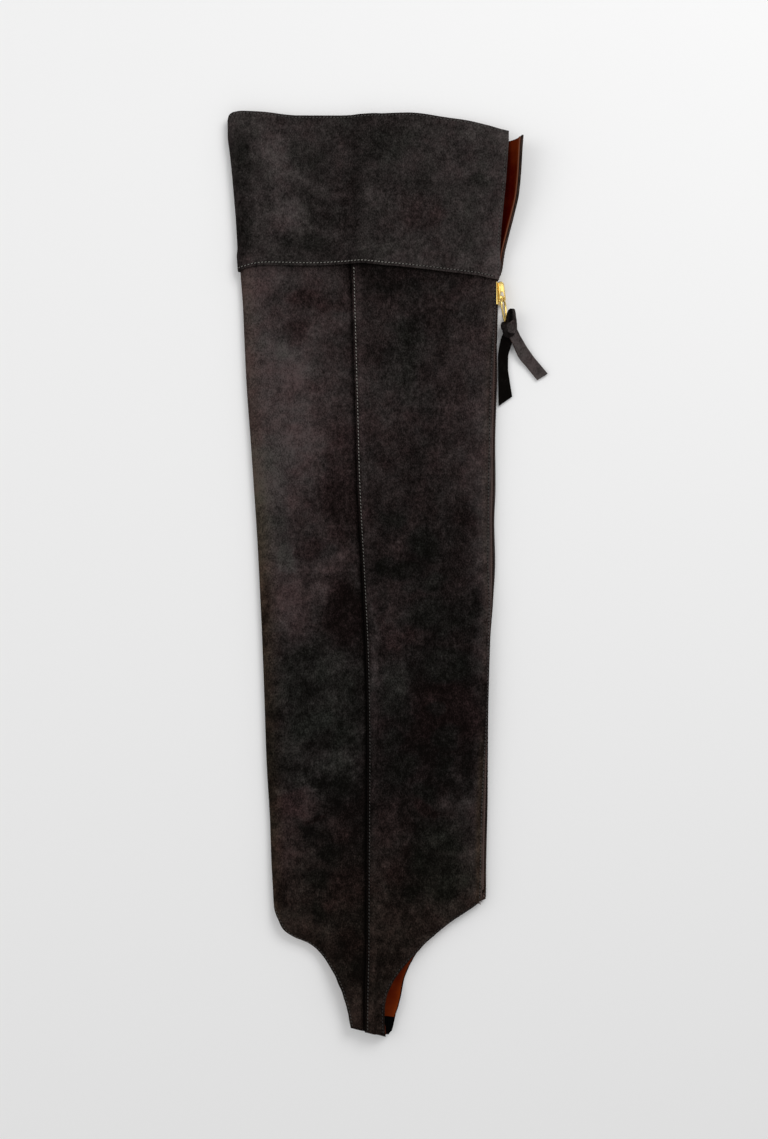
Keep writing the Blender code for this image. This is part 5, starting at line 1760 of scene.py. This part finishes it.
@dataclass
class Tie(Part):
    """A strip of suede knotted through the pull ring, with two tails; places in mm."""

    # rows across a tail: its left side and height there, its right side and height there, its top face
    left_rows: tuple[Row, ...] = (
        (83.6, 507, 90, 506, 6.4), (81.2, 499.5, 89.6, 499, 3.8), (80.2, 489.5, 87, 489.9, 2.1),
        (80.1, 479, 86.9, 481.5, 1.7), (80.2, 467, 88.3, 471.5, 1.7), (80.5, 454, 90, 460.8, 1.7))
    right_rows: tuple[Row, ...] = (
        (86.6, 504.5, 92.4, 510, 7.8), (90.2, 499, 94.9, 505.4, 5.6), (94.8, 489.3, 99.8, 497.4, 3.4),
        (101, 481.9, 106.4, 488.2, 2.1), (108.5, 472.8, 115.6, 477.2, 1.7))
    # rows along the front wrap: x, height and z of its upper edge, then of its lower one
    wrap_rows: tuple[Row, ...] = (
        (83.2, 511.0, 5.6, 83.9, 509.0, 5.4), (84.6, 511.3, 8.4, 84.9, 507.6, 8.2),
        (86.5, 512.3, 10.2, 86.4, 506.2, 10.4), (88.6, 513.8, 11.2, 88.4, 505.3, 11.4),
        (90.6, 515.0, 10.6, 90.4, 505.2, 10.6), (92.4, 514.6, 8.2, 92.2, 506.2, 8.2),
        (93.3, 513.2, 4.8, 93.3, 507.6, 4.8))
    # rows of the hooded loop: height, left and right side; then its face from side to side
    hood_rows: tuple[Row, ...] = (
        (507.0, 85.0, 92.6), (511.0, 85.6, 93.1), (515.0, 86.0, 92.9), (518.0, 86.3, 92.5),
        (521.0, 86.6, 92.0), (522.8, 87.2, 91.4), (523.4, 88.0, 90.6))
    hood_face: tuple[Row, Row] = ((0, 0.12, 0.38, 0.74, 1), (7.4, 6.8, 5.0, 10.6, 6.2))
    tail_steps: int = 48
    wrap_steps: int = 36
    hood_steps: int = 32

    def ways(self, rows: Sequence[Row]) -> list[Fair]:
        """Return each column of a table as a curve over the number of its row."""
        return [Fair(range(len(rows)), column) for column in zip(*rows)]

    def wrap(self) -> Object:
        """Lay the band that crosses the knot's front."""
        ways = self.ways(self.wrap_rows)
        grid: Grid = []
        for k in range(self.wrap_steps + 1):
            x, up, high, foot_x, foot_up, foot_high = (way(6 * k / self.wrap_steps) for way in ways)
            grid.append([self.form.world((mix(x, foot_x, s), mix(up, foot_up, s),
                                          mix(high, foot_high, s) + 0.5 * math.sin(math.pi * s)))
                         for s in stations(0, 1, 8, (0.0, 0.04, 0.1))])
        return self.suede("tie_knot_wrap", [grid],
                          tint=lambda at, level: (0.66 - 0.10 * smooth((86 - at) / 4), -0.08))

    def hood(self) -> Object:
        """Build the loop that stands up behind the ring, hollow towards it."""
        left, right = fairs("left right", self.hood_rows).values()
        foot, tip = self.hood_rows[0][0], self.hood_rows[-1][0]
        profile = Fair(*self.hood_face)
        grid: Grid = []
        for k in range(self.hood_steps + 1):
            up = mix(foot, tip, 1 - (1 - k / self.hood_steps) ** 1.5)
            deep = smooth((tip + 0.3 - up) / 6.5)
            grid.append([self.form.world((mix(left(up), right(up), s), up, mix(8.0, profile(s), deep)))
                         for s in stations(0, 1, 18, (0.0, 0.03, 0.08))])

        def shade(x: float, up: float) -> tuple[float, float]:
            """Return the tone: dark inside the hood, lit over its crest."""
            share = (x - left(up)) / max(0.5, right(up) - left(up))
            return 0.20 + 0.10 * smooth((0.12 - share) / 0.1) + 0.38 * smooth((share - 0.48) / 0.2), -0.10
        return self.suede("tie_knot_hood", [grid], tint=shade)

    def tail(self, name: str, rows: Sequence[Row], cup: float, tone: float) -> Object:
        """Build one tail.

        Args:
            name: The piece.
            rows: Its rows from the knot to the cut end.
            cup: How far its sides stand above its middle, in mm.
            tone: How bright it is.

        Returns:
            The shell.
        """
        ways = self.ways(rows)
        wander = Wander(len(name), 0.12)
        grid: Grid = []
        for k in range(self.tail_steps + 1):
            at = (len(rows) - 1) * k / self.tail_steps
            left, left_up, right, right_up, high = (way(at) for way in ways)
            fade = smooth(at / 1.5)
            row = []
            for share in stations(0, 1, 8, (0.0, 0.05, 0.12)):
                side = 2 * share - 1
                x = mix(left, right, share) + wander(k * 1.3 + (20 if share > 0.5 else 0)) * abs(side)
                row.append(self.form.world((x, mix(left_up, right_up, share), high + cup * fade * side ** 2)))
            grid.append(row)
        return self.suede(name, [grid], tint=lambda x, up: (tone - 0.12 * smooth((up - 496) / 10), -0.12))

    def lobe(self, name: str, centre: tuple[float, float, float], size: tuple[float, float, float],
             lean: float) -> Object:
        """Build one bulge of the knot.

        Args:
            name: The piece.
            centre: Its middle in x, up and z mm.
            size: Its half sizes in mm.
            lean: Its turn seen from above, in degrees.

        Returns:
            The closed shape.
        """
        thing = shape("uv_sphere", name, size, segments=48, ring_count=32, radius=1)
        with editing():
            turn(lean, "Z")
            bpy.ops.transform.translate(value=self.form.world(centre))
        thing.data.materials.append(self.looks.suede)
        bpy.ops.object.shade_smooth()
        colour = thing.data.attributes.new("nap_and_painted_light", "FLOAT_COLOR", "POINT")
        for value in colour.data:
            value.color = (0.34, 0.45, 0.0, 1.0)
        return thing

    def build(self) -> list[Object]:
        """Build the tails and the knot."""
        return [self.tail("tie_tail_left", self.left_rows, 0.3, 0.02),
                self.tail("tie_tail_right", self.right_rows, 0.5, 0.95),
                self.lobe("tie_knot_core", (87.3, 508.3, 6.0), (4.8, 5.8, 4.6), 0),
                self.lobe("tie_knot_lobe", (83.6, 510.4, 6.3), (2.1, 3.7, 3.7), -14),
                self.wrap(), self.hood()]


@dataclass
class Studio:
    """Pale floor, a soft key light from the upper right with a fill from the left, and the camera straight
    above.
    """

    def build(self) -> None:
        """Set up the stage."""
        bpy.ops.mesh.primitive_plane_add(size=8, location=(0, 0, -0.0002))
        floor = bpy.context.object
        floor.name = "floor"
        white = Recipe("matt white table").done(Base_Color=(0.9, 0.9, 0.9, 1), Roughness=0.9)
        floor.data.materials.append(white)
        world = bpy.data.worlds.new("sky")
        world.use_nodes = True
        sky = world.node_tree.nodes["Background"].inputs
        sky["Color"].default_value = (1, 1, 1, 1)
        sky["Strength"].default_value = 0.55
        bpy.context.scene.world = world
        bpy.context.scene.view_settings.view_transform = "Standard"
        self.lamp("key", (0.8, 1.1, 1.3), 0.9, 14)
        self.lamp("fill", (-1.3, 0.3, 1.2), 1.2, 6)
        lens = bpy.data.cameras.new("camera")
        lens.lens = 50
        lens.sensor_width = 36
        camera = bpy.data.objects.new("camera", lens)
        camera.location = (-0.0027, 0.0027, 1.146)
        bpy.context.scene.collection.objects.link(camera)
        bpy.context.scene.camera = camera

    def lamp(self, name: str, place: tuple[float, float, float], size: float, power: float) -> None:
        """Hang one soft square lamp aimed at the middle of the table."""
        light = bpy.data.lights.new(name, "AREA")
        light.energy = power
        light.size = size
        lamp = bpy.data.objects.new(name, light)
        lamp.location = place
        lamp.rotation_euler = Vector(place).to_track_quat("Z", "Y").to_euler()
        bpy.context.scene.collection.objects.link(lamp)


def report(what: str, *things: Object) -> None:
    """Log how many corners each new piece has."""
    LOG.info("%s: %s vertices", what, ", ".join(str(len(thing.data.vertices)) for thing in things))


def main() -> None:
    """Build the gaiter piece by piece on the frame's bodies."""
    logging.basicConfig(level=logging.INFO, format="%(name)s: %(message)s")
    noise.seed_set(DRIFT_SEED)
    form = Form()
    kit = form, make_looks(), NapAndPaintedLight(form)

    leg = Leg(*kit)
    front = leg.front()
    report("front panel", front)
    outer, inner = leg.back(Ply.UPPER), leg.back(Ply.UNDER)
    report("back panels", outer, inner)
    strap_outer, strap_inner = leg.strap_lining(Ply.UPPER), leg.strap_lining(Ply.UNDER)
    report("strap linings", strap_outer, strap_inner)
    cuff = Cuff(*kit)
    band, lining = cuff.build()
    report("cuff and lining", band, lining)
    tape_outer, tape_inner, coil, frays = Zipper(*kit).build()
    report("zip tapes, coil and frays", tape_outer, tape_inner, coil, frays)
    elastic = Stirrup(*kit).build()
    tail_left, tail_right, *knot = Tie(*kit).build()
    slider, ring, barrel = Slider(*kit).build()
    report("elastic, tie, slider and pull", elastic, tail_left, tail_right, *knot, slider, ring, barrel)
    stitching = Stitching(kit[1], seed_mesh(make_stitch), seed_mesh(make_hole))
    stitches = Seams(form, cuff, stitching).build()
    report("stitches and holes", *stitches.values())

    for thing, node, slot in (
            (front, "front_panel", "suede"), (outer, "back_panel_outer", "suede"),
            (inner, "back_panel_inner", "suede"), (band, "cuff", "suede"), (lining, "cuff_lining", "lining"),
            (strap_outer, "strap_lining_outer", "lining"), (strap_inner, "strap_lining_inner", "lining"),
            (tape_outer, "zip_tape_outer", "zip_tape"), (tape_inner, "zip_tape_inner", "zip_tape"),
            (coil, "zip_chain", "zip_coil"), (elastic, "stirrup_elastic", "elastic"),
            (slider, "zip_slider", "gold_metal")):
        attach(thing, "gaiter")
        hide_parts(node)
    for thing in (frays, *stitches.values()):
        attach(thing, "gaiter")
    for thing in (tail_left, tail_right, *knot):
        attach(thing, "pull")
    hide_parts("suede_tie")
    for thing in (ring, barrel):
        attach(thing, "pull")
    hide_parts("zip_pull")
    Studio().build()

    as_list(knot)


if __name__ == "__main__":
    main()
